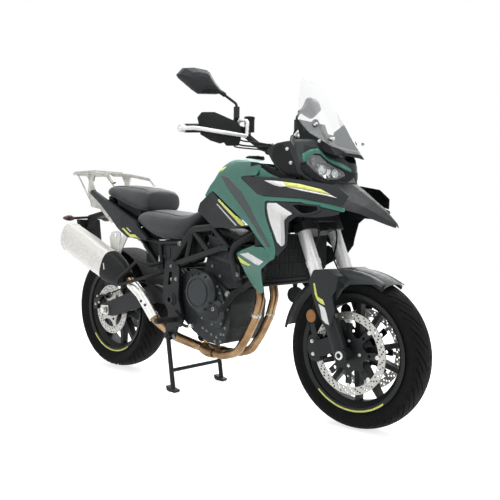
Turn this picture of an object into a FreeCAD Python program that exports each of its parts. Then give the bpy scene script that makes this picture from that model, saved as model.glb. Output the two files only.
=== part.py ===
import FreeCAD, Part
import math
import os

# Adventure touring motorcycle. Millimetres, +X forward, +Y left, +Z up.
# Stations (x) are measured ahead of the chassis datum, which is the rear axle's nominal place,
# and the whole model is shifted at the end so that its origin is mid-length on the ground.

Vec = FreeCAD.Vector
RIGHT = -1
LEFT = 1
SIDES = (RIGHT, LEFT)

# Wheels and stance
FRONT_TYRE_R = 300.0
FRONT_TYRE_W = 120.0
REAR_TYRE_R = 312.0
REAR_TYRE_W = 160.0
BEAD_R = 219.0
RIM_FLANGE_R = 231.0
RIM_WALL = 5.0
SPOKES = 5
SPOKE_HALF_IN = 21.0
SPOKE_HALF_OUT = 15.0
STAND_LIFT = 12.0
AXLE_D = 25.0
AXLE_BORE_D = 14.0
AXLE_FIT = 0.05
SPACER_D = 40.0

# Steering
HEAD_X = 1221.6
HEAD_Z = 900.0
RAKE = 22.0
YOKE_OFFSET = 30.0
AXLE_LEAD = 8.0
FORK_SPAN = 210.0
FORK_TUBE_D = 54.0
FORK_LEG_D = 43.0
LOWER_YOKE_DROP = 125.0
UPPER_YOKE_RISE = 112.0
YOKE_H = 34.0
HEAD_TUBE_D = 58.0
STAND_PIN_D = 14.0
SIDE_PIN_D = 12.0
STEM_D = 26.0
DRIVE_SHAFT_D = 24.0
STEER_SWEEP_R = 148.0
STEER_SWEEP_REAR = -104.0

# Swing arm, chain and brakes
PIVOT_X = 555.0
PIVOT_Z = 431.0
SWING_ARM_REACH = 555.0
ARM_W = 24.0
ARM_GAP_RIGHT = 92.0
ARM_GAP_LEFT = 108.0
CHAIN_Y = 97.0
CHAIN_PITCH = 15.875
REAR_TEETH = 44
DRIVE_TEETH = 15
SPROCKET_T = 6.0
CHAIN_PLATE_T = 2.5
CHAIN_BAND_H = 13.0
FRONT_DISC_R = 160.0
FRONT_DISC_Y = 64.0
REAR_DISC_R = 130.0
REAR_DISC_Y = 76.0
DISC_T = 4.5

# Frame and body
TUBE_D = 34.0
BRACE_D = 26.0
RAIL_D = 24.0
FRAME_Y = 132.0
RAIL_Y = 104.0
PLATE_T = 16.0
PLATE_IN = 134.0
SPINDLE_D = 22.0
HEADER_D = 40.0
HEADER_SPAN = 96.0
LINK_D = 46.0
PANEL_T = 4.0
RACK_SIDE_Y = 124.0
SILENCER_Y = 176.0
BAR_D = 26.0
GRIP_D = 34.0
RACK_REAR = -390.0
RACK_TOP_Z = 1076.0
RACK_HOLE_Y = 70.0
RACK_HOLE_R = 4.5
COWL_IN = 157.0
SCREEN_T = 4.0

REAR_AXLE_X = PIVOT_X - SWING_ARM_REACH
REAR_AXLE_Z = REAR_TYRE_R + STAND_LIFT
RAKE_RAD = math.radians(RAKE)
FORK_AHEAD = Vec(math.cos(RAKE_RAD), 0, math.sin(RAKE_RAD))
FORK_DOWN = Vec(math.sin(RAKE_RAD), 0, -math.cos(RAKE_RAD))
AXLE_AHEAD = YOKE_OFFSET + AXLE_LEAD
AXLE_DROP = (HEAD_Z + FORK_AHEAD.z * AXLE_AHEAD - FRONT_TYRE_R) / math.cos(RAKE_RAD)
FRONT_AXLE_X = HEAD_X + FORK_AHEAD.x * AXLE_AHEAD + FORK_DOWN.x * AXLE_DROP
FRONT_AXLE_Z = FRONT_TYRE_R
MID_X = (FRONT_AXLE_X + FRONT_TYRE_R + RACK_REAR) / 2


# Basic forms
def unit(vector):
    return Vec(vector).normalize()


def flat(points, y=0.0):
    """Side-view points (x, z) as vectors in the plane at y."""
    return [Vec(x, y, z) for x, z in points]


def runs_and_arcs(points, radius, closed):
    """Wire of straight runs joined by tangent arcs no larger than the radius."""
    count = len(points)
    corners = range(count) if closed else range(1, count - 1)
    cuts = {}
    for i in corners:
        here = points[i]
        back = points[i - 1] - here
        ahead = points[(i + 1) % count] - here
        half_turn = (math.pi - back.getAngle(ahead)) / 2
        if half_turn < 0.01 or radius <= 0:
            continue
        reach = 0.45 * min(back.Length, ahead.Length)
        arc_r = min(radius, reach / math.tan(half_turn))
        trim = arc_r * math.tan(half_turn)
        inward = unit(unit(back) + unit(ahead))
        centre = here + inward * (arc_r / math.cos(half_turn))
        cuts[i] = (here + unit(back) * trim, centre - inward * arc_r, here + unit(ahead) * trim)
    edges = []
    last = count if closed else count - 1
    for i in range(last):
        j = (i + 1) % count
        start = cuts[i][2] if i in cuts else points[i]
        end = cuts[j][0] if j in cuts else points[j]
        edges.append(Part.LineSegment(start, end).toShape())
        if j in cuts:
            edges.append(Part.Arc(*cuts[j]).toShape())
    return Part.Wire(edges)


def tube(points, diameter, bend=60.0):
    """Round bar along straight runs and tangent bends."""
    path = runs_and_arcs(points, bend, False)
    circle = Part.makeCircle(diameter / 2, points[0], points[1] - points[0])
    return path.makePipeShell([Part.Wire(circle)], True, False)


def rod(start, end, diameter):
    return Part.makeCylinder(diameter / 2, (end - start).Length, start, end - start)


def disc(centre, radius, y0, y1):
    """Round plate about a crosswise axis, from y0 to y1."""
    return Part.makeCylinder(radius, y1 - y0, Vec(centre.x, y0, centre.z), Vec(0, 1, 0))


def about(axle, outline):
    """Side-view outline given from an axle's centre."""
    return [(axle.x + x, axle.z + z) for x, z in outline]


def slab(outline, y0, y1, radius=0.0):
    """Side-view outline with rounded corners, as thick as y0 to y1."""
    face = Part.Face(runs_and_arcs(flat(outline, y0), radius, True))
    return face.extrude(Vec(0, y1 - y0, 0))


def box(x0, x1, y0, y1, z0, z1):
    return Part.makeBox(x1 - x0, y1 - y0, z1 - z0, Vec(x0, y0, z0))


def ring(points):
    """Closed smooth wire through the points."""
    curve = Part.BSplineCurve()
    curve.interpolate(Points=points, PeriodicFlag=True)
    return Part.Wire(curve.toShape())


def oval(x, half_width, z0, z1, power=3.0, y=0.0, count=16):
    """Rounded-square section across the vehicle at station x."""
    points = []
    for i in range(count):
        turn = 2 * math.pi * (i + 0.5) / count
        c, s = math.cos(turn), math.sin(turn)
        side = math.copysign(abs(c) ** (2 / power), c)
        rise = math.copysign(abs(s) ** (2 / power), s)
        points.append(Vec(x, y + half_width * side, (z0 + z1) / 2 + (z1 - z0) / 2 * rise))
    return ring(points)


def loft(wires, ruled=False):
    return Part.makeLoft(wires, True, ruled)


def main_solid(shape):
    """The largest solid of a shape, without the chips that a cut leaves beside it."""
    return max(shape.Solids, key=lambda solid: solid.Volume)


def fuse(shapes):
    shapes = list(shapes)
    return shapes[0].multiFuse(shapes[1:]) if len(shapes) > 1 else shapes[0]


def mirror(shape):
    return shape.mirror(Vec(0, 0, 0), Vec(0, 1, 0))


def both(shape):
    return Part.makeCompound([shape, mirror(shape)])


def steering_frame(shape):
    """Turns a shape drawn about an upright steering axis onto the real, raked one."""
    shape.rotate(Vec(0, 0, 0), Vec(0, 1, 0), -RAKE)
    shape.translate(Vec(HEAD_X, 0, HEAD_Z))
    return shape


def head_point(drop, ahead=0.0, y=0.0):
    return Vec(HEAD_X, y, HEAD_Z) + FORK_DOWN * drop + FORK_AHEAD * ahead


def steering_sweep(top=200.0, bottom=-200.0):
    """Room that the turning fork tubes and yokes need behind them."""
    room = Part.makeCylinder(STEER_SWEEP_R, top - bottom, Vec(0, 0, bottom))
    ahead = Part.makeBox(400, 400, top - bottom, Vec(STEER_SWEEP_REAR, -200, bottom))
    return steering_frame(room.common(ahead))


# The side surface that all body panels are cut from: half-widths over stations and heights
SIDE_X = (640, 760, 880, 1000, 1120, 1240, 1360, 1480, 1600, 1720)
SIDE_Z = (460, 580, 700, 800, 880, 930, 980, 1040, 1110)
SIDE_Y = (
    (120, 132, 138, 140, 138, 132, 122, 104, 80),
    (122, 136, 144, 148, 148, 144, 134, 114, 84),
    (132, 146, 156, 162, 162, 158, 150, 128, 92),
    (150, 166, 180, 188, 188, 182, 170, 142, 100),
    (178, 196, 212, 218, 216, 206, 188, 156, 110),
    (196, 216, 236, 246, 242, 224, 198, 166, 120),
    (196, 216, 236, 244, 232, 210, 186, 156, 116),
    (176, 192, 206, 204, 184, 162, 138, 112, 84),
    (136, 146, 152, 144, 120, 100, 80, 60, 40),
    (90, 94, 92, 80, 60, 44, 30, 20, 12),
)


def side_surface(outset=0.0):
    rows = [[Vec(x, -(y + outset), z) for z, y in zip(SIDE_Z, widths)]
            for x, widths in zip(SIDE_X, SIDE_Y)]
    surface = Part.BSplineSurface()
    surface.interpolate(rows)
    return surface.toShape()


def side_panel(outline, radius=6.0, outset=0.0, thickness=PANEL_T):
    """Right-hand panel of the body side, inside a side-view outline."""
    skin = side_surface(outset).extrude(Vec(0, thickness, 0))
    return skin.common(slab(outline, -320, 0, radius))


# Wheels
def tyre(centre, radius, width):
    """Tyre section turned round the axle: beads, sidewalls, shoulders and a round crown."""
    half = width / 2
    bead_half = half * 0.72
    outer = [(BEAD_R, bead_half), (RIM_FLANGE_R + 7, bead_half + 3), (radius * 0.86, half * 0.985),
             (radius * 0.905, half), (radius * 0.94, half * 0.93), (radius * 0.966, half * 0.76),
             (radius * 0.986, half * 0.5), (radius * 0.9965, half * 0.25), (radius, 0)]
    inner = [(radius - 12, 0), (radius * 0.94, half * 0.6), (radius * 0.89, half * 0.88),
             (BEAD_R + 16, bead_half - 10), (BEAD_R, bead_half - 9)]
    right = [(r, -y) for r, y in outer[:-1]]
    section = outer + list(reversed(right)) + [(r, -y) for r, y in reversed(inner[1:])] + inner
    wire = Part.makePolygon([Vec(0, y, r) for r, y in section + section[:1]])
    shape = Part.Face(wire).revolve(Vec(0, 0, 0), Vec(0, 1, 0), 360)
    shape.translate(centre)
    return shape


def rim(centre, width, hub_half, hub_r, spoke_w):
    """Cast rim: barrel, hub with the axle bore, and pairs of slanting spokes."""
    half = width / 2 * 0.72
    well = BEAD_R - 22
    profile = [
        (well - RIM_WALL, -half * 0.45), (BEAD_R - RIM_WALL - 1, -half * 0.85),
        (BEAD_R - RIM_WALL - 1, -half - 4), (RIM_FLANGE_R, -half - 8), (RIM_FLANGE_R, -half - 3.5),
        (BEAD_R - 0.3, -half), (BEAD_R - 0.3, -half * 0.8), (well, -half * 0.4),
    ]
    profile += [(r, -y) for r, y in reversed(profile)]
    wire = Part.makePolygon([Vec(0, y, r) for r, y in profile + profile[:1]])
    barrel = Part.Face(wire).revolve(Vec(0, 0, 0), Vec(0, 1, 0), 360)
    flange_r, flange_half = hub_r + 20, hub_half * 0.45
    hub_profile = [(AXLE_D / 2 + AXLE_FIT, -hub_half), (hub_r, -hub_half), (hub_r, -flange_half - 8),
                   (flange_r, -flange_half), (flange_r, flange_half), (hub_r, flange_half + 8),
                   (hub_r, hub_half), (AXLE_D / 2 + AXLE_FIT, hub_half)]
    wire = Part.makePolygon([Vec(0, y, r) for r, y in hub_profile + hub_profile[:1]])
    hub = Part.Face(wire).revolve(Vec(0, 0, 0), Vec(0, 1, 0), 360)
    arms = []
    for i in range(SPOKES):
        for lean in (-1, 1):
            at_hub = math.radians(360 / SPOKES * i + lean * 9)
            at_rim = math.radians(360 / SPOKES * i + lean * 15)
            start = Vec(math.cos(at_hub), 0, math.sin(at_hub)) * (hub_r + 4)
            end = Vec(math.cos(at_rim), 0, math.sin(at_rim)) * (well - RIM_WALL / 2)
            across = unit(end - start).cross(Vec(0, 1, 0)) * (spoke_w / 2)
            corners = [start - across, end - across * 0.72, end + across * 0.72, start + across]
            face = Part.Face(Part.makePolygon(corners + corners[:1]))
            face.translate(Vec(0, -hub_half, 0))
            arms.append(face.extrude(Vec(0, 2 * hub_half, 0)))
    taper = [(hub_r - 20, -SPOKE_HALF_IN), (well, -SPOKE_HALF_OUT), (well, SPOKE_HALF_OUT),
             (hub_r - 20, SPOKE_HALF_IN)]
    wire = Part.makePolygon([Vec(0, y, r) for r, y in taper + taper[:1]])
    spokes = fuse(arms).common(Part.Face(wire).revolve(Vec(0, 0, 0), Vec(0, 1, 0), 360))
    shape = barrel.fuse(spokes).fuse(hub)
    shape.translate(centre)
    return shape


def brake_disc(axle, y, radius, ring_w, carrier_r, lugs, bore_r):
    """Ring on a lugged carrier, as one plate."""
    plate = disc(Vec(0, 0, 0), radius, y - DISC_T / 2, y + DISC_T / 2)
    plate = plate.cut(disc(Vec(0, 0, 0), radius - ring_w, y - DISC_T, y + DISC_T))
    arms = [plate]
    for i in range(lugs):
        turn = 2 * math.pi * i / lugs
        out = Vec(math.cos(turn), 0, math.sin(turn))
        start = out * (carrier_r - 6)
        end = out * (radius - ring_w + 5)
        across = out.cross(Vec(0, 1, 0)) * 8
        corners = [start - across, end - across, end + across, start + across]
        face = Part.Face(Part.makePolygon([p + Vec(0, y - DISC_T / 2, 0) for p in corners + corners[:1]]))
        arms.append(face.extrude(Vec(0, DISC_T, 0)))
    arms.append(disc(Vec(0, 0, 0), carrier_r, y - DISC_T / 2, y + DISC_T / 2))
    shape = fuse(arms).cut(disc(Vec(0, 0, 0), bore_r, y - DISC_T, y + DISC_T))
    shape.translate(axle)
    return shape


FRONT_AXLE = Vec(FRONT_AXLE_X, 0, FRONT_AXLE_Z)
REAR_AXLE = Vec(REAR_AXLE_X, 0, REAR_AXLE_Z)
FRONT_HUB_HALF = FRONT_DISC_Y - DISC_T / 2
FRONT_HUB_R = 34.0
REAR_HUB_R = 46.0
REAR_HUB_RIGHT = REAR_DISC_Y - DISC_T / 2
REAR_HUB_LEFT = CHAIN_Y - SPROCKET_T / 2
SPROCKET_R = CHAIN_PITCH / 2 / math.sin(math.pi / REAR_TEETH)
DRIVE_R = CHAIN_PITCH / 2 / math.sin(math.pi / DRIVE_TEETH)
DRIVE_SHAFT = Vec(640, 0, 452)


def front_wheel():
    discs = [brake_disc(FRONT_AXLE, side * FRONT_DISC_Y, FRONT_DISC_R, 30, 62, 8, 28) for side in SIDES]
    return {
        "front_tyre": tyre(FRONT_AXLE, FRONT_TYRE_R, FRONT_TYRE_W),
        "front_rim": rim(FRONT_AXLE, FRONT_TYRE_W, FRONT_HUB_HALF, FRONT_HUB_R, 26),
        "front_discs": Part.makeCompound(discs),
    }


def sprocket(centre, teeth, y, bore_r):
    """Chain wheel: root disc with one tooth a pitch."""
    pitch_r = CHAIN_PITCH / 2 / math.sin(math.pi / teeth)
    points = []
    for i in range(teeth):
        for share, reach in ((0.0, -4.2), (0.34, 1.2), (0.5, 3.6), (0.66, 1.2)):
            turn = 2 * math.pi * (i + share) / teeth
            points.append(Vec(math.cos(turn), 0, math.sin(turn)) * (pitch_r + reach))
    wire = Part.makePolygon([p + Vec(0, y - SPROCKET_T / 2, 0) for p in points + points[:1]])
    wheel = Part.Face(wire).extrude(Vec(0, SPROCKET_T, 0))
    wheel = wheel.cut(disc(Vec(0, 0, 0), bore_r, y - 20, y + 20))
    wheel.translate(centre)
    return wheel


def rear_wheel():
    carrier = disc(REAR_AXLE, REAR_HUB_R, REAR_HUB_RIGHT - 20, REAR_HUB_LEFT)
    carrier = carrier.cut(disc(REAR_AXLE, AXLE_D / 2 + AXLE_FIT, 0, 200))
    wheel = rim(REAR_AXLE, REAR_TYRE_W, REAR_HUB_RIGHT, REAR_HUB_R, 30).fuse(carrier)
    chain_wheel = sprocket(REAR_AXLE, REAR_TEETH, CHAIN_Y, 34)
    for i in range(5):
        turn = 2 * math.pi * i / 5
        hole = REAR_AXLE + Vec(math.cos(turn), 0, math.sin(turn)) * 76
        chain_wheel = chain_wheel.cut(disc(hole, 20, CHAIN_Y - 20, CHAIN_Y + 20))
    return {
        "rear_tyre": tyre(REAR_AXLE, REAR_TYRE_R, REAR_TYRE_W),
        "rear_rim": wheel,
        "rear_disc": brake_disc(REAR_AXLE, -REAR_DISC_Y, REAR_DISC_R, 36, 66, 5, 30),
        "rear_sprocket": chain_wheel,
    }


# Steering
def yokes():
    """Both yokes on one stem, clamped round the fork tubes."""
    half = FORK_SPAN / 2
    pieces = []
    for z0 in (-LOWER_YOKE_DROP - YOKE_H, UPPER_YOKE_RISE):
        outline = [(-34, -32), (-34, 32), (4, half + 30), (YOKE_OFFSET + 34, half + 34),
                   (YOKE_OFFSET + 36, half - 26), (YOKE_OFFSET + 10, 0),
                   (YOKE_OFFSET + 36, -half + 26), (YOKE_OFFSET + 34, -half - 34), (4, -half - 30)]
        wire = runs_and_arcs([Vec(x, y, z0) for x, y in outline], 16.0, True)
        pieces.append(Part.Face(wire).extrude(Vec(0, 0, YOKE_H)))
    bottom = -LOWER_YOKE_DROP - YOKE_H
    pieces.append(Part.makeCylinder(STEM_D / 2, UPPER_YOKE_RISE - bottom + 10, Vec(0, 0, bottom)))
    shape = fuse(pieces)
    for side in SIDES:
        shape = shape.cut(Part.makeCylinder(FORK_TUBE_D / 2, 600, Vec(YOKE_OFFSET, side * half, -300)))
    return steering_frame(shape)


def fork():
    """Tubes in the yokes, sliders below, axle clamps and the hollow axle."""
    half = FORK_SPAN / 2
    tube_bottom = -300.0
    axle_z = -AXLE_DROP
    legs = []
    for side in SIDES:
        y = side * half
        upper = Part.makeCylinder(FORK_TUBE_D / 2, UPPER_YOKE_RISE + YOKE_H + 8 - tube_bottom,
                                  Vec(YOKE_OFFSET, y, tube_bottom))
        collar = Part.makeCylinder(FORK_TUBE_D / 2 + 3, 20, Vec(YOKE_OFFSET, y, tube_bottom))
        lower = Part.makeCylinder(FORK_LEG_D / 2, tube_bottom - axle_z, Vec(YOKE_OFFSET, y, axle_z))
        casting = Part.makeCylinder(30, 150, Vec(YOKE_OFFSET, y, axle_z - 10))
        lug = Part.makeBox(74, 30, 62, Vec(YOKE_OFFSET - 86, y - 15, axle_z + 18))
        boss = Part.makeCylinder(27, 44, Vec(AXLE_AHEAD, y - 22, axle_z), Vec(0, 1, 0))
        legs += [upper, collar, lower, casting, lug, boss]
    reach = half + 24
    axle = Part.makeCylinder(AXLE_D / 2, 2 * reach, Vec(AXLE_AHEAD, -reach, axle_z), Vec(0, 1, 0))
    hollow = Part.makeCylinder(AXLE_BORE_D / 2, 2 * reach + 2, Vec(AXLE_AHEAD, -reach - 1, axle_z),
                               Vec(0, 1, 0))
    shape = fuse(legs + [axle]).cut(hollow)
    disc_room = Part.makeCylinder(FRONT_DISC_R + 8, 2 * (FRONT_DISC_Y + 8),
                                  Vec(AXLE_AHEAD, -FRONT_DISC_Y - 8, axle_z), Vec(0, 1, 0))
    shape = shape.cut(disc_room).fuse(axle.cut(hollow))
    return steering_frame(shape)


FENDER_CENTRE = Vec(FRONT_AXLE_X - 17, 0, FRONT_AXLE_Z + 3)
FENDER_R = FRONT_TYRE_R + 25.0
FENDER_FRONT = 57.0
FENDER_REAR = 168.0


def front_fender():
    """Crowned mudguard over the tyre with a flat guard down each fork leg."""
    half = FRONT_TYRE_W / 2 + 14
    profile = [(FENDER_R - 30, -half), (FENDER_R - 12, -half * 0.8), (FENDER_R - 3, -half * 0.4),
               (FENDER_R, 0)]
    profile += [(r, -y) for r, y in reversed(profile[:-1])]
    inner = [(r - PANEL_T, y * 0.95) for r, y in reversed(profile)]
    outer_edge = Part.BSplineCurve()
    outer_edge.interpolate([Vec(r, y, 0) for r, y in profile])
    inner_edge = Part.BSplineCurve()
    inner_edge.interpolate([Vec(r, y, 0) for r, y in inner])
    joins = [Part.LineSegment(Vec(*profile[-1], 0), Vec(*inner[0], 0)).toShape(),
             Part.LineSegment(Vec(*inner[-1], 0), Vec(*profile[0], 0)).toShape()]
    wire = Part.Wire([outer_edge.toShape(), joins[0], inner_edge.toShape(), joins[1]])
    shell = Part.Face(wire).revolve(Vec(0, 0, 0), Vec(0, -1, 0), FENDER_REAR - FENDER_FRONT)
    shell.rotate(Vec(0, 0, 0), Vec(0, -1, 0), FENDER_FRONT)
    shell.translate(FENDER_CENTRE)
    outline = about(FRONT_AXLE, [(-122, 318), (-65, 322), (-5, 300), (-17, 245), (-35, 220), (-19, 170),
               (-37, 105), (-65, 98), (-107, 170), (-143, 270)])
    half_span = FORK_SPAN / 2
    guard_y = -half_span - FORK_TUBE_D / 2 - 3
    guard = slab(outline, guard_y - PANEL_T, guard_y, 14)
    web = slab(about(FRONT_AXLE, [(-122, 318), (-65, 322), (-5, 300), (-17, 245), (-65, 260), (-105, 300)]),
               guard_y - 1, -half + 6, 10)
    guards = []
    for piece in (guard, web):
        guards += [piece, mirror(piece)]
    shape = fuse([shell] + guards)
    legs = [Part.makeCylinder(FORK_TUBE_D / 2 + 0.3, 620, Vec(YOKE_OFFSET, side * half_span, -520))
            for side in SIDES]
    return shape.cut(steering_frame(Part.makeCompound(legs)))


BAR_CENTRE = Vec(1080, 0, 1110)
BAR_BEND = Vec(1072, 96, 1112)
BAR_KNEE = Vec(1014, 188, 1190)
BAR_END = Vec(950, 430, 1166)
MIRROR_FOOT = Vec(1023, -202, 1228)
RESERVOIR = Vec(1062, -165, 1172)
RESERVOIR_R = 21.0
RESERVOIR_H = 54.0


def handlebar():
    points = [BAR_END, BAR_KNEE, BAR_BEND, Vec(BAR_CENTRE.x, 44, BAR_CENTRE.z)]
    right = [Vec(p.x, -p.y, p.z) for p in points]
    bar = tube(points + list(reversed(right)), BAR_D, 46)
    clamps = []
    for side in SIDES:
        foot = head_point(-UPPER_YOKE_RISE - YOKE_H, -12, side * 48)
        top = Vec(BAR_CENTRE.x, side * 48, BAR_CENTRE.z)
        clamps.append(rod(foot, top, 30))
        clamps.append(disc(Vec(top.x, 0, top.z), 24, min(side * 34, side * 62), max(side * 34, side * 62)))
    return fuse([bar] + clamps)


def along_bar(share):
    """Point on the right-hand grip stretch, from the bar's knee (0) to its end (1)."""
    knee = Vec(BAR_KNEE.x, -BAR_KNEE.y, BAR_KNEE.z)
    end = Vec(BAR_END.x, -BAR_END.y, BAR_END.z)
    return knee + (end - knee) * share


def controls():
    """Grips, switch boxes, levers and the brake reservoir."""
    grip = rod(along_bar(0.47), along_bar(0.985), GRIP_D)
    flange = rod(along_bar(0.45), along_bar(0.475), GRIP_D + 10)
    switch_box = rod(along_bar(0.24), along_bar(0.45), 44)
    perch = rod(along_bar(0.03), along_bar(0.17), 38)
    perch_arm = rod(along_bar(0.10), along_bar(0.16) + Vec(36, -6, -4), 20)
    lever = tube([along_bar(0.16) + Vec(34, -6, -4), along_bar(0.42) + Vec(44, 8, -8),
                  along_bar(0.76) + Vec(36, 4, -10)], 12, 50)
    foot = rod(along_bar(0.06) + Vec(0, 0, 6), MIRROR_FOOT, 22)
    parts = [grip, flange, switch_box, perch, perch_arm, lever, foot]
    bar_room = rod(along_bar(-0.3), along_bar(1.1), BAR_D)
    right = fuse(parts)
    cup = Part.makeCylinder(RESERVOIR_R, RESERVOIR_H, RESERVOIR)
    stem = rod(along_bar(0.08) + Vec(6, 6, 8), RESERVOIR + Vec(0, 0, 8), 14)
    left = mirror(right.cut(bar_room))
    right = fuse([right, cup, stem]).cut(bar_room)
    return Part.makeCompound([right, left])


def hand_guards():
    """Alloy strap from the bar's end round to the bar's bend, and the plastic shield behind it."""
    end = Vec(BAR_END.x, -BAR_END.y, BAR_END.z)
    corner = Vec(1088, -214, 1148)
    strap = tube([end + Vec(0, -16, -2), Vec(1026, -432, 1160), Vec(1066, -330, 1152), corner], 16, 40)
    upright = tube([corner + Vec(0, 4, 0), Vec(1087, -203, 1210), Vec(1036, -197, 1219)], 14, 14)
    clamp = rod(Vec(1038, -197, 1219), along_bar(0.03) + Vec(2, 0, 6), 16)
    end_plug = rod(end + Vec(2, 3, 0), end + Vec(0, -19, -2), 30)
    metal = fuse([strap, end_plug, upright, clamp])
    rows = []
    for z, lean in ((1090, 0), (1150, 0), (1190, -2), (1250, -16)):
        rows.append([Vec(x + lean, y, z) for x, y in ((1000, -410), (1040, -350), (1058, -290), (1074, -224))])
    surface = Part.BSplineSurface()
    surface.interpolate(rows)
    sheet = surface.toShape().extrude(Vec(-4, 0, 0))
    outline = [(-402, 1206), (-386, 1229), (-340, 1233), (-280, 1214), (-240, 1203), (-228, 1186),
               (-228, 1132), (-240, 1107), (-292, 1103), (-304, 1116), (-322, 1109), (-360, 1118),
               (-394, 1140), (-398, 1172)]
    cutter = Part.Face(runs_and_arcs([Vec(900, y, z) for y, z in outline], 8, True)).extrude(Vec(400, 0, 0))
    shield = sheet.common(cutter)
    pads = [rod(Vec(1040, y, z), Vec(1070, y, z), 12) for y, z in ((-322, 1152), (-252, 1149))]
    shield = fuse([shield] + pads).cut(metal)
    bar_room = rod(along_bar(-0.3), along_bar(1.0), BAR_D)
    right = [metal.cut(bar_room), shield]
    return Part.makeCompound(right + [mirror(piece) for piece in right])


MIRROR_HEAD = [(-472, 1368), (-446, 1397), (-405, 1405), (-345, 1404), (-330, 1396), (-308, 1366),
               (-278, 1337), (-266, 1322), (-292, 1315), (-372, 1306), (-398, 1318), (-462, 1356)]


def mirrors():
    """Stalks from the lever perches with shield-shaped heads."""
    boot = rod(MIRROR_FOOT, MIRROR_FOOT + Vec(0, 0, 46), 25)
    stalk = tube([MIRROR_FOOT + Vec(0, 0, 30), MIRROR_FOOT + Vec(-1, 0, 58), Vec(998, -258, 1322),
                  Vec(990, -300, 1340)], 11, 16)
    socket = rod(Vec(1001, -250, 1318), Vec(990, -292, 1338), 19)
    middle = (-372, 1352)
    wires = []
    for ahead, share in ((-10, 0.95), (-2, 1.0), (12, 0.97), (28, 0.62), (33, 0.3)):
        points = []
        for y, z in MIRROR_HEAD:
            lateral = middle[0] + (y - middle[0]) * share
            rise = middle[1] + (z - middle[1]) * share
            points.append(Vec(955 + 0.2 * (472 + lateral) + ahead, lateral, rise))
        wires.append(Part.makePolygon(points + points[:1]))
    head = loft(wires, True)
    return both(fuse([stalk, boot, socket, head]))


def front_calipers():
    body = slab(about(FRONT_AXLE, [(-171, 52), (-121, 62), (-109, 0), (-121, -50), (-161, -46), (-179, 0)]),
                -FORK_SPAN / 2 + 15 - 4, -FRONT_DISC_Y + 34, 14)
    slot = disc(FRONT_AXLE, FRONT_DISC_R + 6, -FRONT_DISC_Y - DISC_T / 2 - 3, -FRONT_DISC_Y + DISC_T / 2 + 3)
    tyre_room = disc(FRONT_AXLE, FRONT_TYRE_R, -FRONT_TYRE_W / 2 + 20, FRONT_TYRE_W / 2)
    return both(body.cut(slot).cut(tyre_room))


# Frame
HEAD_HIGH = Vec(1176, -44, 946)
HEAD_LOW = Vec(1222, -40, 842)
LOOP = {
    "A": Vec(822, -FRAME_Y, 773), "B": Vec(691, -FRAME_Y, 763), "C": Vec(541, -FRAME_Y, 588),
    "D": Vec(654, -FRAME_Y, 620), "E": Vec(793, -FRAME_Y, 670), "F": Vec(889, -FRAME_Y, 686),
    "G": Vec(930, -FRAME_Y, 683), "H": Vec(975, -FRAME_Y, 573),
    "I": Vec(640, -RAIL_Y - 8, 704), "J": Vec(430, -RAIL_Y, 694), "M": Vec(280, -RAIL_Y, 716),
    "K": Vec(452, -RAIL_Y, 545), "N": Vec(60, -RAIL_Y + 6, 860), "O": Vec(-60, -RAIL_Y + 12, 902),
}


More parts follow.
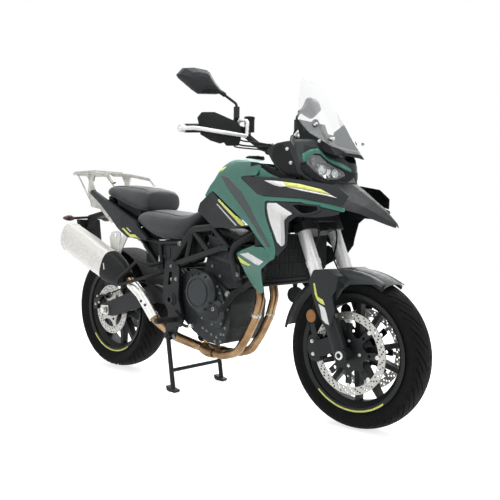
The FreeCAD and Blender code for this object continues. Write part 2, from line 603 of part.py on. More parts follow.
def frame():
    """Trellis of tubes on a head tube, pivot plates, subframe and the pillion loops."""
    p = LOOP
    right = [
        tube([HEAD_HIGH, Vec(1010, -96, 868), p["A"], p["B"], p["C"]], TUBE_D, 70),
        tube([HEAD_LOW, Vec(1050, -108, 760), p["G"], p["H"]], TUBE_D, 60),
        rod(p["A"], p["G"], BRACE_D),
        rod(p["D"], p["F"], TUBE_D),
        rod(p["B"], p["D"], BRACE_D),
        rod(p["B"], p["E"], BRACE_D),
        rod(p["D"], p["C"], TUBE_D),
        rod(p["F"], p["G"], TUBE_D),
        rear_rail(RIGHT),
        tube([p["C"] + Vec(0, 10, 0), p["K"], Vec(378, -RAIL_Y, 617), p["M"]], RAIL_D, 60),
        rod(p["J"], p["K"], RAIL_D),
        rod(p["I"], Vec(646, -FRAME_Y, 712), RAIL_D),
        rod(HEAD_HIGH, head_point(-50), TUBE_D),
        rod(HEAD_LOW, head_point(62), TUBE_D),
    ]
    pivot_plate = slab([(505, 470), (520, 604), (566, 622), (620, 586), (618, 500), (616, 440),
                        (640, 372), (612, 318), (584, 250), (560, 236), (532, 246), (526, 290),
                        (548, 372), (508, 420)], -PLATE_IN - PLATE_T, -PLATE_IN, 18)
    pivot_plate = pivot_plate.cut(slab([(540, 500), (552, 566), (572, 560), (562, 498)],
                                       -200, 0, 8))
    lug = slab([(946, 640), (994, 610), (1000, 556), (962, 540), (940, 590)],
               -FRAME_Y - 8, -FRAME_Y + 8, 10)

    drop = slab([(186, 730), (186, 778), (214, 760), (214, 730)], -RAIL_Y - 8, -RAIL_Y + 2, 6)
    boss = rod(Vec(200, -122, 741), Vec(200, -RAIL_Y, 741), 20)
    right += [pivot_plate, lug, drop, boss]
    hanger = tube([Vec(452, -RAIL_Y - 4, 600), Vec(420, -160, 588), Vec(366, -196, 604),
                   Vec(258, -226, 516), Vec(244, -226, 478), Vec(420, -176, 530),
                   Vec(460, -RAIL_Y - 4, 550)], 16, 20)
    right.append(hanger)
    head = rod(head_point(LOWER_YOKE_DROP - 4), head_point(-UPPER_YOKE_RISE + 4), HEAD_TUBE_D)
    cross = [
        rod(Vec(PIVOT_X, -FRAME_Y, 588), Vec(PIVOT_X, FRAME_Y, 588), BRACE_D),
        rod(Vec(430, -RAIL_Y, 694), Vec(430, RAIL_Y, 694), RAIL_D),
        rod(Vec(280, -RAIL_Y, 716), Vec(280, RAIL_Y, 716), RAIL_D),
        rod(Vec(700, -FRAME_Y, 764), Vec(700, FRAME_Y, 764), BRACE_D),
    ]
    pieces = [head] + cross
    for piece in right:
        pieces += [piece, mirror(piece)]
    spindle_reach = PLATE_IN + PLATE_T + 6
    spindle = rod(Vec(PIVOT_X, -spindle_reach, PIVOT_Z), Vec(PIVOT_X, spindle_reach, PIVOT_Z), SPINDLE_D)
    pieces.append(spindle)
    shape = fuse(pieces)
    lug = slab([(600, 290), (640, 372), (664, 340), (716, 292), (722, 262), (694, 250), (620, 270)],
               PLATE_IN - 2, PLATE_IN + 10, 10)
    pin = rod(SIDE_PIVOT - SIDE_AXIS * 14, SIDE_PIVOT + SIDE_AXIS * 30, SIDE_PIN_D)
    pins = [rod(STAND_PIVOT + Vec(0, side * PLATE_IN, 0), STAND_PIVOT + Vec(0, side * (STAND_LEG_Y + 14), 0),
                STAND_PIN_D) for side in SIDES]
    shape = shape.fuse([lug, pin] + pins)
    bore = rod(head_point(300), head_point(-300), STEM_D + 1)
    return shape.cut(bore)


# Engine
def engine():
    """Crankcase, forward-leaning cylinders and head, sump and water pump pipe."""
    case = slab([(572, 372), (566, 470), (598, 545), (690, 585), (800, 560), (895, 500),
                 (926, 440), (914, 330), (884, 262), (849, 250), (782, 254), (690, 292)],
                -118, 118, 26)
    sprocket_room = disc(DRIVE_SHAFT, DRIVE_R + 18, CHAIN_Y - 12, 130)
    sprocket_room = sprocket_room.fuse(slab([(540, 372), (540, 506), (640, 508), (640, 396)],
                                            CHAIN_Y - 12, 130, 4))
    case = case.cut(sprocket_room)
    shaft = disc(DRIVE_SHAFT, DRIVE_SHAFT_D / 2, CHAIN_Y - 12, CHAIN_Y + 8)
    lean = math.radians(12)
    up = Vec(math.sin(lean), 0, math.cos(lean))
    ahead = Vec(math.cos(lean), 0, -math.sin(lean))
    base = Vec(822, 0, 520)
    stack = []
    for low, high, long, half in ((0, 110, 172, 104), (110, 128, 184, 110), (128, 196, 180, 108),
                                  (196, 206, 188, 112), (206, 240, 160, 92)):
        corners = [base + up * low - ahead * (long / 2), base + up * low + ahead * (long / 2),
                   base + up * high + ahead * (long / 2), base + up * high - ahead * (long / 2)]
        stack.append(slab([(c.x, c.z) for c in corners], -half, half, 8))
    ports = []
    for side in SIDES:
        mouth = Vec(912, side * HEADER_SPAN / 2, 640)
        ports.append(rod(mouth, mouth + Vec(24, 0, -10), HEADER_D + 12))
    tube_in = FRAME_Y - TUBE_D / 2
    mounts = [rod(Vec(975, -tube_in, 573), Vec(975, tube_in, 573), 30),
              slab([(890, 560), (965, 586), (988, 566), (890, 500)], -24, 24, 6)]
    for x, z in ((600, 530), (612, 358)):
        mounts.append(rod(Vec(x, -PLATE_IN, z), Vec(x, PLATE_IN, z), 26))
    return fuse([case, shaft] + stack + ports + mounts)


def engine_covers():
    """Clutch cover on the right, generator and drive-sprocket covers on the left."""
    def dome(x, z, radius, y, depth, side):
        wires = []
        for share, out in ((1.0, 0.0), (1.0, 0.55), (0.86, 0.86), (0.6, 1.0)):
            circle = Part.makeCircle(radius * share, Vec(x, side * (y + depth * out), z), Vec(0, 1, 0))
            wires.append(Part.Wire(circle))
        return loft(wires, True)
    clutch = dome(763, 481, 92, 118, 54, RIGHT)
    pump = dome(846, 400, 56, 118, 36, RIGHT)
    rim_plate = slab([(668, 490), (720, 566), (800, 552), (872, 500), (906, 420), (880, 330),
                      (800, 330), (720, 380)], -130, -118, 30)
    generator = dome(806, 430, 88, 118, 44, LEFT)
    drive = slab([(600, 404), (606, 498), (652, 520), (706, 480), (700, 410), (650, 384)],
                 118, 124, 20)
    starter_case = slab([(716, 520), (800, 540), (880, 470), (850, 350), (760, 345)], 118, 128, 24)
    right = fuse([clutch, pump, rim_plate])
    left = fuse([generator, starter_case, drive])
    return Part.makeCompound([right, left])


def radiator():
    core = slab([(1118, 560), (1118, 752), (1142, 752), (1142, 560)], -156, 156, 0)
    tank_r = slab([(1112, 548), (1112, 764), (1150, 764), (1150, 548)], -176, -156, 6)
    tank_l = mirror(tank_r)
    shroud = box(1070, 1118, -120, 120, 580, 730)
    lugs = [rod(Vec(1134, -75 * s, 752), Vec(1134, -75 * s, 790), 16) for s in SIDES]
    bottom = slab([(1104, 536), (1104, 548), (1156, 548), (1156, 536)], -166, 166, 4)
    base = box(1118, 1142, -156, 156, 546, 561)
    fused = fuse([core, tank_r, tank_l, shroud, bottom, base] + lugs)
    horn = disc(Vec(1138, 0, 486), 34, 52, 78)
    strap = slab([(1126, 548), (1150, 548), (1146, 486), (1130, 486)], 60, 66, 3)
    down_tubes = [rod(HEAD_LOW, Vec(1050, -108, 760), TUBE_D)]
    down_tubes.append(mirror(down_tubes[0]))
    return fuse([fused, horn, strap]).cut(fuse(down_tubes))


# Exhaust
def header_path(side):
    y = side * HEADER_SPAN / 2
    return [Vec(936, y, 630), Vec(1010, y, 599.2), Vec(1036, y, 470), Vec(1008, y, 378),
            Vec(958, y, 290), Vec(900, y, 212), Vec(806, y * 0.9, 186), Vec(726, y * 0.6, 186)]


def exhaust_pipes():
    """Twin headers into a collector, then the link pipe up to the silencer."""
    headers = [tube(header_path(side), HEADER_D, 90) for side in SIDES]
    collector = loft([oval(740, 58, 160, 212, 3), oval(690, 50, 158, 214, 2.6), oval(640, 34, 162, 222, 2.2)])
    link = tube([Vec(650, 0, 192), Vec(590, -14, 204), Vec(520, -74, 240), Vec(452, -146, 322),
                 Vec(356, -160, 440), Vec(262, -170, 506), Vec(170, -175, 548)], LINK_D, 80)
    bracket = slab([(640, 200), (640, 330), (664, 330), (664, 200)], -6, 6, 3)
    shape = fuse(headers + [collector, link, bracket])
    return shape.cut(slab([(572, 372), (690, 292), (782, 254), (782, 400), (572, 400)], -60, 60))


LINK_RISE = (Vec(452, -146, 322), Vec(262, -170, 506))


def heat_shield():
    start, end = LINK_RISE
    middle = Vec(356, -160, 440)
    run = unit(middle - start)
    outer = tube([start + run * 12, middle, middle + (end - middle) * 0.72], LINK_D + 10, 80)
    inner = tube([start, middle, end], LINK_D + 2, 80)
    bands = [rod(start + run * at, start + run * (at + 9), LINK_D + 2) for at in (26, 116)]
    bands = [band.cut(rod(start, middle, LINK_D)) for band in bands]
    back = slab([(200, 380), (200, 560), (520, 560), (520, 250)], -154, -60)
    return fuse([outer.cut(inner).cut(back)] + bands)


SILENCER_AXIS = (Vec(-226, -SILENCER_Y, 704), Vec(116, -SILENCER_Y, 570))


def silencer_section(share, half_w, half_h, power=2.8):
    start, end = SILENCER_AXIS
    along = unit(end - start)
    up = along.cross(Vec(0, 1, 0)) * -1
    middle = start + (end - start) * share
    points = []
    count = 16
    for i in range(count):
        turn = 2 * math.pi * (i + 0.5) / count
        c, s = math.cos(turn), math.sin(turn)
        side = math.copysign(abs(c) ** (2 / power), c) * half_w
        rise = math.copysign(abs(s) ** (2 / power), s) * half_h
        points.append(middle + Vec(0, side, 0) + up * rise)
    return ring(points)


def silencer():
    """Polished can with a pressed end cap, black front cover and hanger plate."""
    can = loft([silencer_section(0.0, 54, 78), silencer_section(0.5, 56, 80),
                silencer_section(1.0, 55, 77)])
    cap = loft([silencer_section(-0.13, 42, 62), silencer_section(-0.08, 52, 75),
                silencer_section(0.0, 55, 79)])
    outlet = rod(SILENCER_AXIS[0] + Vec(-70, 0, 30), SILENCER_AXIS[0] + Vec(-20, 0, 8), 40)
    tab = slab([(60, 600), (116, 580), (150, 650), (206, 730), (200, 750), (178, 744)], -128, -122, 6)
    return fuse([can, cap]).cut(outlet).fuse(tab)


def silencer_cover():
    cone = loft([silencer_section(1.0, 57, 80), silencer_section(1.18, 50, 74),
                 silencer_section(1.45, 30, 36)])
    pipe_room = tube([Vec(356, -160, 440), Vec(262, -170, 506), Vec(170, -175, 548)], LINK_D + 12, 80)
    bend, end = Vec(262, -170, 506), Vec(170, -175, 548)
    run = unit(end - bend)
    neck = rod(bend + run * 10, bend + run * 24, LINK_D + 12).cut(rod(bend, end, LINK_D))
    return cone.cut(pipe_room).fuse(neck)


# Tank, seats and panels
def fuel_tank():
    stations = (
        (742, 92, 800, 868), (790, 122, 804, 990), (850, 136, 818, 1060), (930, 144, 862, 1082),
        (1010, 146, 902, 1070), (1080, 138, 936, 1044), (1130, 112, 956, 1028),
    )
    body = loft([oval(x, w, z0, z1, 3.2) for x, w, z0, z1 in stations])
    body = body.cut(steering_sweep())
    cap = rod(Vec(950, 0, 1064), Vec(950, 0, 1088), 84)
    tongue = slab([(688, 762), (688, 780), (742, 806), (772, 814), (772, 800), (714, 762)], -40, 40, 3)
    feet = [rod(Vec(1040, side * 64, 880), Vec(1040, side * 64, 940), 22) for side in SIDES]
    return fuse([body, cap, tongue] + feet)


def rider_seat():
    stations = (
        (262, 116, 788, 826), (300, 136, 768, 850), (350, 146, 742, 860), (430, 152, 712, 856),
        (520, 150, 708, 846), (600, 138, 714, 836), (650, 118, 742, 846), (690, 96, 790, 868),
        (728, 76, 830, 892),
    )
    pads = []
    for x in (480, 590):
        for side in SIDES:
            y0, y1 = sorted((side * (RAIL_Y - 8), side * (RAIL_Y + 10)))
            pads.append(box(x, x + 34, y0, y1, 704, 750))
    return fuse([loft([oval(x, w, z0, z1, 3.4) for x, w, z0, z1 in stations])] + pads)


def pillion_seat():
    stations = (
        (-36, 78, 940, 964), (-14, 98, 924, 984), (60, 114, 906, 993), (130, 121, 882, 990),
        (220, 126, 856, 980), (290, 125, 842, 970), (320, 118, 842, 962), (338, 104, 852, 946),
    )
    base = slab([(24, 874), (24, 935), (230, 880), (230, 800)], -70, 70, 6)
    return loft([oval(x, w, z0, z1, 3.2) for x, w, z0, z1 in stations]).fuse(base)


NODES = {}


def add(name, shape):
    NODES[name] = shape


def knee_panels():
    outline = [(756, 884), (797, 914), (828, 933), (1098, 784), (1000, 772), (845, 776), (742, 846)]
    return both(side_panel(outline, 8, 2))


def side_panels():
    """Green fairing sides: the tank flank and wing, and the lower panel that points down."""
    wing = [(764, 892), (812, 960), (880, 1022), (950, 1058), (1060, 1052), (1130, 1030),
            (1120, 990), (1006, 992), (1156, 914), (1200, 902), (1380, 890), (1489, 868),
            (1538, 852), (1538, 838), (1484, 852), (1381, 876), (1214, 884), (1224, 827),
            (1262, 730), (1280, 666), (1238, 676), (1112, 784), (836, 936)]
    lower = [(1018, 668), (1060, 684), (1116, 699), (1196, 701), (1284, 665), (1236, 643),
             (1188, 612), (1150, 515), (1128, 506), (1100, 530), (1062, 610)]
    flank = side_panel(wing, 8, 0)
    point = side_panel(lower, 6, 0)
    seat = slab([(1114, 640), (1114, 700), (1148, 706), (1148, 640)], -244, -176, 6)
    point = point.fuse(seat.common(side_inside(2)))
    return both(Part.makeCompound([flank, point]))


def side_inside(inset):
    """Everything inboard of the right-hand side surface."""
    return side_surface(-inset).extrude(Vec(0, 330, 0))


def strakes():
    """Dark blades along the top of the fairing and the vent frames under them."""
    outline = [(1010, 992), (1166, 981), (1290, 970), (1369, 960), (1496, 938), (1544, 899),
               (1530, 858), (1463, 876), (1378, 891), (1200, 904), (1160, 912)]
    blade = side_panel(outline, 5, 4.0, PANEL_T)
    frame_outline = [(1218, 882), (1381, 873), (1484, 849), (1532, 836), (1496, 824), (1440, 818),
                     (1372, 822), (1340, 800), (1322, 706), (1284, 666), (1264, 734), (1228, 828)]
    vent = side_panel(frame_outline, 4, -1.0, PANEL_T)
    slot = slab([(1350, 864), (1372, 867), (1446, 859), (1452, 846), (1430, 837), (1400, 832),
                 (1380, 840)], -320, 0, 5)
    lip_outline = [(1338, 870), (1372, 874), (1456, 864), (1464, 844), (1432, 830), (1398, 825),
                   (1366, 836)]
    lip = side_panel(lip_outline, 5, 3.0, 5.0)
    return both(Part.makeCompound([blade, vent.fuse(lip).cut(slot)]))


def winglets():
    outline = [(1235, 874), (1281, 873), (1306, 860), (1362, 831), (1342, 824), (1324, 808),
               (1318, 716), (1306, 706), (1283, 724), (1254, 800), (1237, 854)]
    return both(side_panel(outline, 6, PANEL_T, PANEL_T))


def beak():
    """Duck-bill shell over the front wheel with a crease along each side."""
    def section(x, edge_y, edge_z, crease_y, crease_z, crown, thick):
        outer = [(edge_y, edge_z), (crease_y, crease_z), (crease_y * 0.45, crown - (crown - crease_z) * 0.42),
                 (crease_y * 0.16, crown)]
        inner = [(max(edge_y - thick, edge_y * 0.5), edge_z - 1.0),
                 (max(crease_y - thick, crease_y * 0.5), crease_z - thick),
                 (crease_y * 0.42, crown - (crown - crease_z) * 0.42 - thick), (crease_y * 0.14, crown - thick)]
        right = [Vec(x, -y, z) for y, z in outer]
        left = [Vec(x, y, z) for y, z in reversed(outer)]
        back = [Vec(x, y, z) for y, z in inner] + [Vec(x, -y, z) for y, z in reversed(inner)]
        points = right + left + back
        return Part.makePolygon(points + points[:1])
    stations = ((1436, 186, 872, 140, 934, 974, 8), (1479, 176, 862, 124, 904, 948, 8),
                (1513, 156, 852, 106, 888, 925, 8), (1564, 100, 834, 76, 862, 887, 8),
                (1610, 58, 808, 44, 832, 851, 7), (1640, 36, 794, 25, 811, 823, 6),
                (1663, 14, 784, 9, 793, 801, 4))
    return loft([section(*s) for s in stations], True)


def nose_face(inset=0.0):
    """Front surface of nose and lamp, wrapped back towards the sides."""
    rows = []
    for z, lean in ((900, 6), (960, 2), (1020, 0), (1080, -14), (1140, -40)):
        row = []
        for y in (-200, -150, -100, -50, 0, 50, 100, 150, 200):
            sweep = 104 * (abs(y) / 150) ** 1.7 + max(0.0, z - 980) * abs(y) / 150 * 0.18
            row.append(Vec(1468 + lean - sweep - inset, y, z))
        rows.append(row)
    surface = Part.BSplineSurface()
    surface.interpolate(rows)
    return surface.toShape()


def front_outline(points, x0=1150, depth=400, radius=8.0):
    right = [Vec(x0, -y, z) for y, z in points]
    left = [Vec(x0, y, z) for y, z in reversed(points)]
    return Part.Face(runs_and_arcs(right + left, radius, True)).extrude(Vec(depth, 0, 0))


LAMP = [(40, 958), (72, 960), (112, 960), (136, 972), (152, 1002), (160, 1030), (154, 1056),
        (140, 1070), (122, 1066), (88, 1034), (46, 1005), (18, 996)]
COWL = [(40, 944), (112, 942), (146, 956), (164, 990), (168, 1040), (164, 1126), (125, 1098),
        (85, 1078), (56, 1060), (24, 1034)]


def headlamp():
    body = nose_face(2).extrude(Vec(-58, 0, 0))
    return body.common(front_outline(LAMP, radius=6))


def nose_cowl():
    """Shell round the headlamp: cheeks at the sides, brow above and chin below."""
    shell = nose_face(0).extrude(Vec(-320, 0, 0)).common(front_outline(COWL, 1100, 500, 6))
    side_view = [(1156, 1092), (1194, 1038), (1241, 992), (1277, 974), (1345, 940), (1500, 940),
                 (1500, 1112), (1358, 1092), (1323, 1112), (1284, 1123), (1213, 1116), (1182, 1106)]
    shell = shell.common(slab(side_view, -200, 200, 5))
    head_room = box(1000, 1336, -COWL_IN, COWL_IN, 900, 1200)
    inside = nose_face(64).extrude(Vec(-200, 0, 0)).common(box(1300, 1500, -COWL_IN, COWL_IN, 900, 1200))
    under_skin = [(y * 0.94, z + (9 if z < 1000 else -6)) for y, z in COWL]
    shell = shell.cut(head_room).cut(inside.common(front_outline(under_skin, 1100, 500, 4)))
    pocket = nose_face(-10).extrude(Vec(-72, 0, 0)).common(front_outline(LAMP, radius=6))
    return shell.cut(pocket)


def screen_bracket():
    """Dash frame between cowl and screen with the instrument facing the rider."""
    side = slab([(1292, 1136), (1306, 1180), (1328, 1191), (1348, 1205), (1368, 1202), (1382, 1188),
                 (1412, 1178), (1438, 1160), (1464, 1132), (1486, 1088), (1474, 1054), (1440, 1060),
                 (1400, 1076), (1344, 1100), (1300, 1116)], -104, -94, 8)
    side = side.common(screen_back())
    bar = slab([(1278, 1128), (1284, 1166), (1316, 1166), (1318, 1120)], -94, 94, 6)
    display = slab([(1268, 1128), (1248, 1212), (1264, 1216), (1294, 1142)], -86, 86, 6)
    shelf = slab([(1278, 1120), (1278, 1134), (1436, 1092), (1436, 1080)], -94, 94, 3)
    chin = slab([(1424, 1070), (1424, 1096), (1462, 1082), (1456, 1058)], -94, 94, 5)
    return fuse([side, mirror(side), bar, display, shelf, chin.common(screen_back())])


def screen_face():
    """Front surface of the screen, curved in plan and swept back."""
    rows = []
    for z, middle, drop in ((1040, 1494, 56), (1110, 1456, 86), (1180, 1418, 108), (1280, 1354, 78),
                            (1390, 1278, 22)):
        row = []
        for y in (-160, -80, 0, 80, 160):
            row.append(Vec(middle - drop * (abs(y) / 150) ** 2, y, z))
        rows.append(row)
    surface = Part.BSplineSurface()
    surface.interpolate(rows)
    return surface.toShape()


def screen_back():
    """Everything behind the screen."""
    face = screen_face()
    face.translate(Vec(-SCREEN_T, 0, 0))
    return face.extrude(Vec(-400, 0, 0))


def windscreen():
    sheet = screen_face().extrude(Vec(-SCREEN_T, 0, 0))
    outline = [(50, 1070), (102, 1098), (134, 1146), (143, 1196), (130, 1290), (106, 1364), (90, 1376),
               (40, 1364)]
    return sheet.common(front_outline(outline, 1200, 400, 12))


def fairing_stay():
    """Black stay from the head tube that carries nose, lamp and dash."""
    post = slab([(1214, 930), (1206, 958), (1330, 1010), (1410, 960), (1400, 940), (1330, 970)],
                -13, 13, 4)
    head = rod(head_point(LOWER_YOKE_DROP), head_point(-UPPER_YOKE_RISE), HEAD_TUBE_D)
    return main_solid(post.cut(head).cut(nose_cowl()))


def airbox():
    battery = slab([(470, 604), (462, 680), (545, 680), (545, 612)], -92, 92, 8)
    filter_box = slab([(640, 640), (620, 704), (690, 744), (744, 744), (744, 690), (700, 640)],
                      -106, 106, 12)
    neck = slab([(530, 610), (540, 680), (650, 700), (660, 650)], -60, 60, 4)
    return fuse([battery, filter_box, neck])


def tail_panels():
    """Blade-shaped side panels on a tray under the pillion seat."""
    plan = [(-140, -137), (180, -158), (420, -142), (420, -120), (180, -134), (90, -RACK_SIDE_Y),
            (-140, -RACK_SIDE_Y)]
    wire = Part.makePolygon([Vec(x, y, 600) for x, y in plan + plan[:1]])
    taper = Part.Face(wire).extrude(Vec(0, 0, 500))
    blade = slab([(-126, 952), (-96, 966), (28, 910), (150, 858), (284, 798), (312, 764), (392, 702),
                  (230, 718), (150, 764), (90, 812), (-10, 884)], -160, -80, 8).common(taper)
    tray = slab([(-60, 902), (-56, 916), (120, 850), (250, 800), (300, 780), (292, 770), (240, 786),
                 (110, 838)], -112, 112, 3)
    wings = slab([(100, 846), (100, 856), (250, 800), (300, 780), (292, 770), (240, 786)], -136, 136, 3)
    shape = fuse([blade, mirror(blade), tray, wings])
    return shape.cut(fuse([rear_rail(side) for side in SIDES]))


def rear_rail(side):
    p = LOOP
    rail = tube([p["I"], p["J"], p["M"], p["N"], p["O"]], RAIL_D, 90)
    return rail if side == RIGHT else mirror(rail)


def rack():
    """Alloy grab rails and carrier plate."""
    rail = tube([Vec(96, -136, 996), Vec(60, -134, 1030), Vec(-130, -124, 1062),
                 Vec(-300, -96, RACK_TOP_Z - 9), Vec(RACK_REAR + 9, -66, RACK_TOP_Z - 9)], 18, 40)
    tail = tube([Vec(RACK_REAR + 9, -66, RACK_TOP_Z - 9), Vec(RACK_REAR + 9, 66, RACK_TOP_Z - 9)], 18)
    side = slab([(-186, 1064), (-96, 1056), (-112, 1012), (-88, 968), (-6, 896), (86, 806), (56, 788),
                 (-48, 862), (-128, 874), (-160, 960), (-152, 1016)], -RACK_SIDE_Y, -RACK_SIDE_Y + 8, 10)
    strut = rod(Vec(-300, -98, RACK_TOP_Z - 14), Vec(-134, -RACK_SIDE_Y + 5, 900), 9)
    seat = slab([(-60, 868), (-40, 912), (60, 846), (50, 800)], -RACK_SIDE_Y + 4, -RAIL_Y + 8, 8)
    seat = seat.cut(rear_rail(RIGHT))
    plate = slab([(-330, RACK_TOP_Z - 8), (-330, RACK_TOP_Z), (-140, RACK_TOP_Z), (-140, RACK_TOP_Z - 8)],
                 -96, 96, 0)
    for x in (-300, -210):
        for y in (-60, 0, 60):
            plate = plate.cut(box(x, x + 50, y - 20, y + 20, 900, 1200))
    for x in (-320, -152):
        for y in (-RACK_HOLE_Y, RACK_HOLE_Y):
            plate = plate.cut(Part.makeCylinder(RACK_HOLE_R, 40, Vec(x, y, RACK_TOP_Z - 30)))
    right = [rail, side, strut, seat]
    return fuse(right + [mirror(s) for s in right] + [tail, plate])


def tail_lamp():
    """Lamp under the tail, with the plate holder's arm and the indicators."""
    lamp = slab([(-52, 900), (-56, 932), (-30, 936), (0, 900), (-20, 880)], -60, 60, 6)
    arm = slab([(-30, 900), (-120, 862), (-300, 830), (-340, 740), (-326, 734), (-286, 806),
                (-110, 838), (20, 868), (20, 890)], -26, 26, 6)
    plate = slab([(-352, 806), (-326, 806), (-300, 640), (-306, 638)], -70, 70, 2)
    stalks = [rod(Vec(-300, 0, 820), Vec(-330, -108, 812), 14), rod(Vec(-300, 0, 820), Vec(-330, 108, 812), 14)]
    lenses = []
    for side in SIDES:
        wires = []
        for y, half in ((96, 8), (112, 15), (150, 12), (166, 4)):
            wires.append(Part.Wire(Part.makeCircle(half, Vec(-338, side * y, 812), Vec(0, 1, 0))))
        lenses.append(loft(wires))
    return fuse([lamp, arm, plate] + stalks + lenses)


# Rear end
def swing_arm():
    """Box-section arms on a pivot tube, with axle plates at their ends."""
    def arm(side, gap):
        outline = [(REAR_AXLE_X - 44, REAR_AXLE_Z - 26), (REAR_AXLE_X - 44, REAR_AXLE_Z + 26),
                   (REAR_AXLE_X + 30, REAR_AXLE_Z + 50), (222, 440), (400, 488),
                   (PIVOT_X + 26, PIVOT_Z + 30), (PIVOT_X + 26, PIVOT_Z - 30), (400, 398), (263, 356),
                   (REAR_AXLE_X + 60, REAR_AXLE_Z - 28)]
        y0, y1 = sorted((side * gap, side * (gap + ARM_W)))
        return slab(outline, y0, y1, 24)
    right = arm(RIGHT, ARM_GAP_RIGHT)
    left = arm(LEFT, ARM_GAP_LEFT)
    bridge = slab([(352, 396), (352, 450), (430, 450), (430, 404)], -ARM_GAP_RIGHT, ARM_GAP_LEFT, 10)
    pivot = rod(Vec(PIVOT_X, -PLATE_IN, PIVOT_Z), Vec(PIVOT_X, PLATE_IN, PIVOT_Z), 48)
    axle_right = -ARM_GAP_RIGHT - ARM_W - 12
    axle_left = ARM_GAP_LEFT + ARM_W + 12
    axle = rod(Vec(REAR_AXLE_X, axle_right, REAR_AXLE_Z), Vec(REAR_AXLE_X, axle_left, REAR_AXLE_Z), AXLE_D)
    hollow = rod(Vec(REAR_AXLE_X, axle_right - 1, REAR_AXLE_Z), Vec(REAR_AXLE_X, axle_left + 1, REAR_AXLE_Z), AXLE_BORE_D)
    spacer_r = rod(Vec(REAR_AXLE_X, -ARM_GAP_RIGHT, REAR_AXLE_Z), Vec(REAR_AXLE_X, -REAR_HUB_RIGHT - 0.5, REAR_AXLE_Z), SPACER_D)
    spacer_l = rod(Vec(REAR_AXLE_X, REAR_HUB_LEFT + 0.5, REAR_AXLE_Z), Vec(REAR_AXLE_X, ARM_GAP_LEFT, REAR_AXLE_Z), SPACER_D)
    mount = slab([(376, 440), (386, 530), (420, 530), (430, 440)], -20, 20, 8)
    shape = fuse([right, left, bridge, pivot, axle, spacer_r, spacer_l, mount]).cut(hollow)
    spindle_room = rod(Vec(PIVOT_X, -200, PIVOT_Z), Vec(PIVOT_X, 200, PIVOT_Z), SPINDLE_D)
    return shape.cut(spindle_room).cut(box(564, 640, -FRAME_Y, CHAIN_Y + 9, 360, 500))


def shock():
    low = Vec(410, 0, 516)
    high = Vec(PIVOT_X, 0, 588)
    run = high - low
    body = rod(low + run * 0.1, low + run * 0.72, 42)
    return fuse([rod(low, high, 18), body])


def hugger():
    """Mudguard close over the rear tyre, and the chain guard."""
    inner_r = REAR_TYRE_R + 14
    half = REAR_TYRE_W / 2 - 6
    outer = disc(REAR_AXLE, inner_r + PANEL_T, -half, half)
    hole = disc(REAR_AXLE, inner_r, -half - 1, half + 1)
    wedge = slab([(REAR_AXLE_X, REAR_AXLE_Z), (REAR_AXLE_X + 420, REAR_AXLE_Z + 150),
                  (REAR_AXLE_X + 300, REAR_AXLE_Z + 420), (REAR_AXLE_X - 30, REAR_AXLE_Z + 500)],
                 -half, half)
    shell = outer.cut(hole).common(wedge)
    side_lug = slab(about(REAR_AXLE, [(290, 88), (332, 102), (332, 128), (300, 132)]), -ARM_GAP_RIGHT, -half + 4, 4)
    tongue = slab(about(REAR_AXLE, [(300, 104), (296, 126), (354, 122), (354, 106)]), -50, 50, 3)
    lugs = fuse([side_lug, tongue]).cut(disc(REAR_AXLE, inner_r, -200, 200))
    return shell.fuse(lugs)


def chain():
    """Roller chain as two plated bands round the sprockets, with rollers between."""
    rear, drive = REAR_AXLE, DRIVE_SHAFT
    link = drive - rear
    span = math.hypot(link.x, link.z)
    tilt = math.atan2(link.z, link.x)
    lean = math.asin((SPROCKET_R - DRIVE_R) / span)

    def loop(extra, y0, y1):
        r1, r2 = SPROCKET_R + extra, DRIVE_R + extra
        upper = tilt + math.pi / 2 - lean
        lower = tilt - math.pi / 2 + lean

        def at(centre, radius, turn):
            return Vec(centre.x + radius * math.cos(turn), y0, centre.z + radius * math.sin(turn))
        edges = [
            Part.LineSegment(at(rear, r1, upper), at(drive, r2, upper)).toShape(),
            Part.Arc(at(drive, r2, upper), at(drive, r2, tilt), at(drive, r2, lower)).toShape(),
            Part.LineSegment(at(drive, r2, lower), at(rear, r1, lower)).toShape(),
            Part.Arc(at(rear, r1, lower), at(rear, r1, tilt + math.pi), at(rear, r1, upper)).toShape(),
        ]
        return Part.Face(Part.Wire(edges)).extrude(Vec(0, y1 - y0, 0))
    bands = []
    inner_gap = SPROCKET_T / 2 + 2.0
    for side in SIDES:
        y0, y1 = sorted((CHAIN_Y + side * inner_gap, CHAIN_Y + side * (inner_gap + CHAIN_PLATE_T)))
        bands.append(loop(CHAIN_BAND_H / 2, y0, y1).cut(loop(-CHAIN_BAND_H / 2, y0 - 1, y1 + 1)))
    run = span * math.cos(lean)
    count = int(run / CHAIN_PITCH) - 1
    rollers = []
    for turn in (tilt + math.pi / 2 - lean, tilt - math.pi / 2 + lean):
        start = rear + Vec(math.cos(turn), 0, math.sin(turn)) * SPROCKET_R
        end = drive + Vec(math.cos(turn), 0, math.sin(turn)) * DRIVE_R
        for i in range(3, count - 2, 2):
            point = start + (end - start) * ((i + 0.5) / (count + 1))
            rollers.append(disc(point, 5, CHAIN_Y - inner_gap - 0.5, CHAIN_Y + inner_gap + 0.5))
    for i in range(-3, 4):
        turn = tilt + i * 2 * math.pi / DRIVE_TEETH
        point = drive + Vec(math.cos(turn), 0, math.sin(turn)) * DRIVE_R
        rollers.append(disc(point, 5, CHAIN_Y - inner_gap - 0.5, CHAIN_Y + inner_gap + 0.5))
    drive_wheel = sprocket(drive, DRIVE_TEETH, CHAIN_Y, DRIVE_SHAFT_D / 2)
    return fuse(bands + rollers + [drive_wheel])


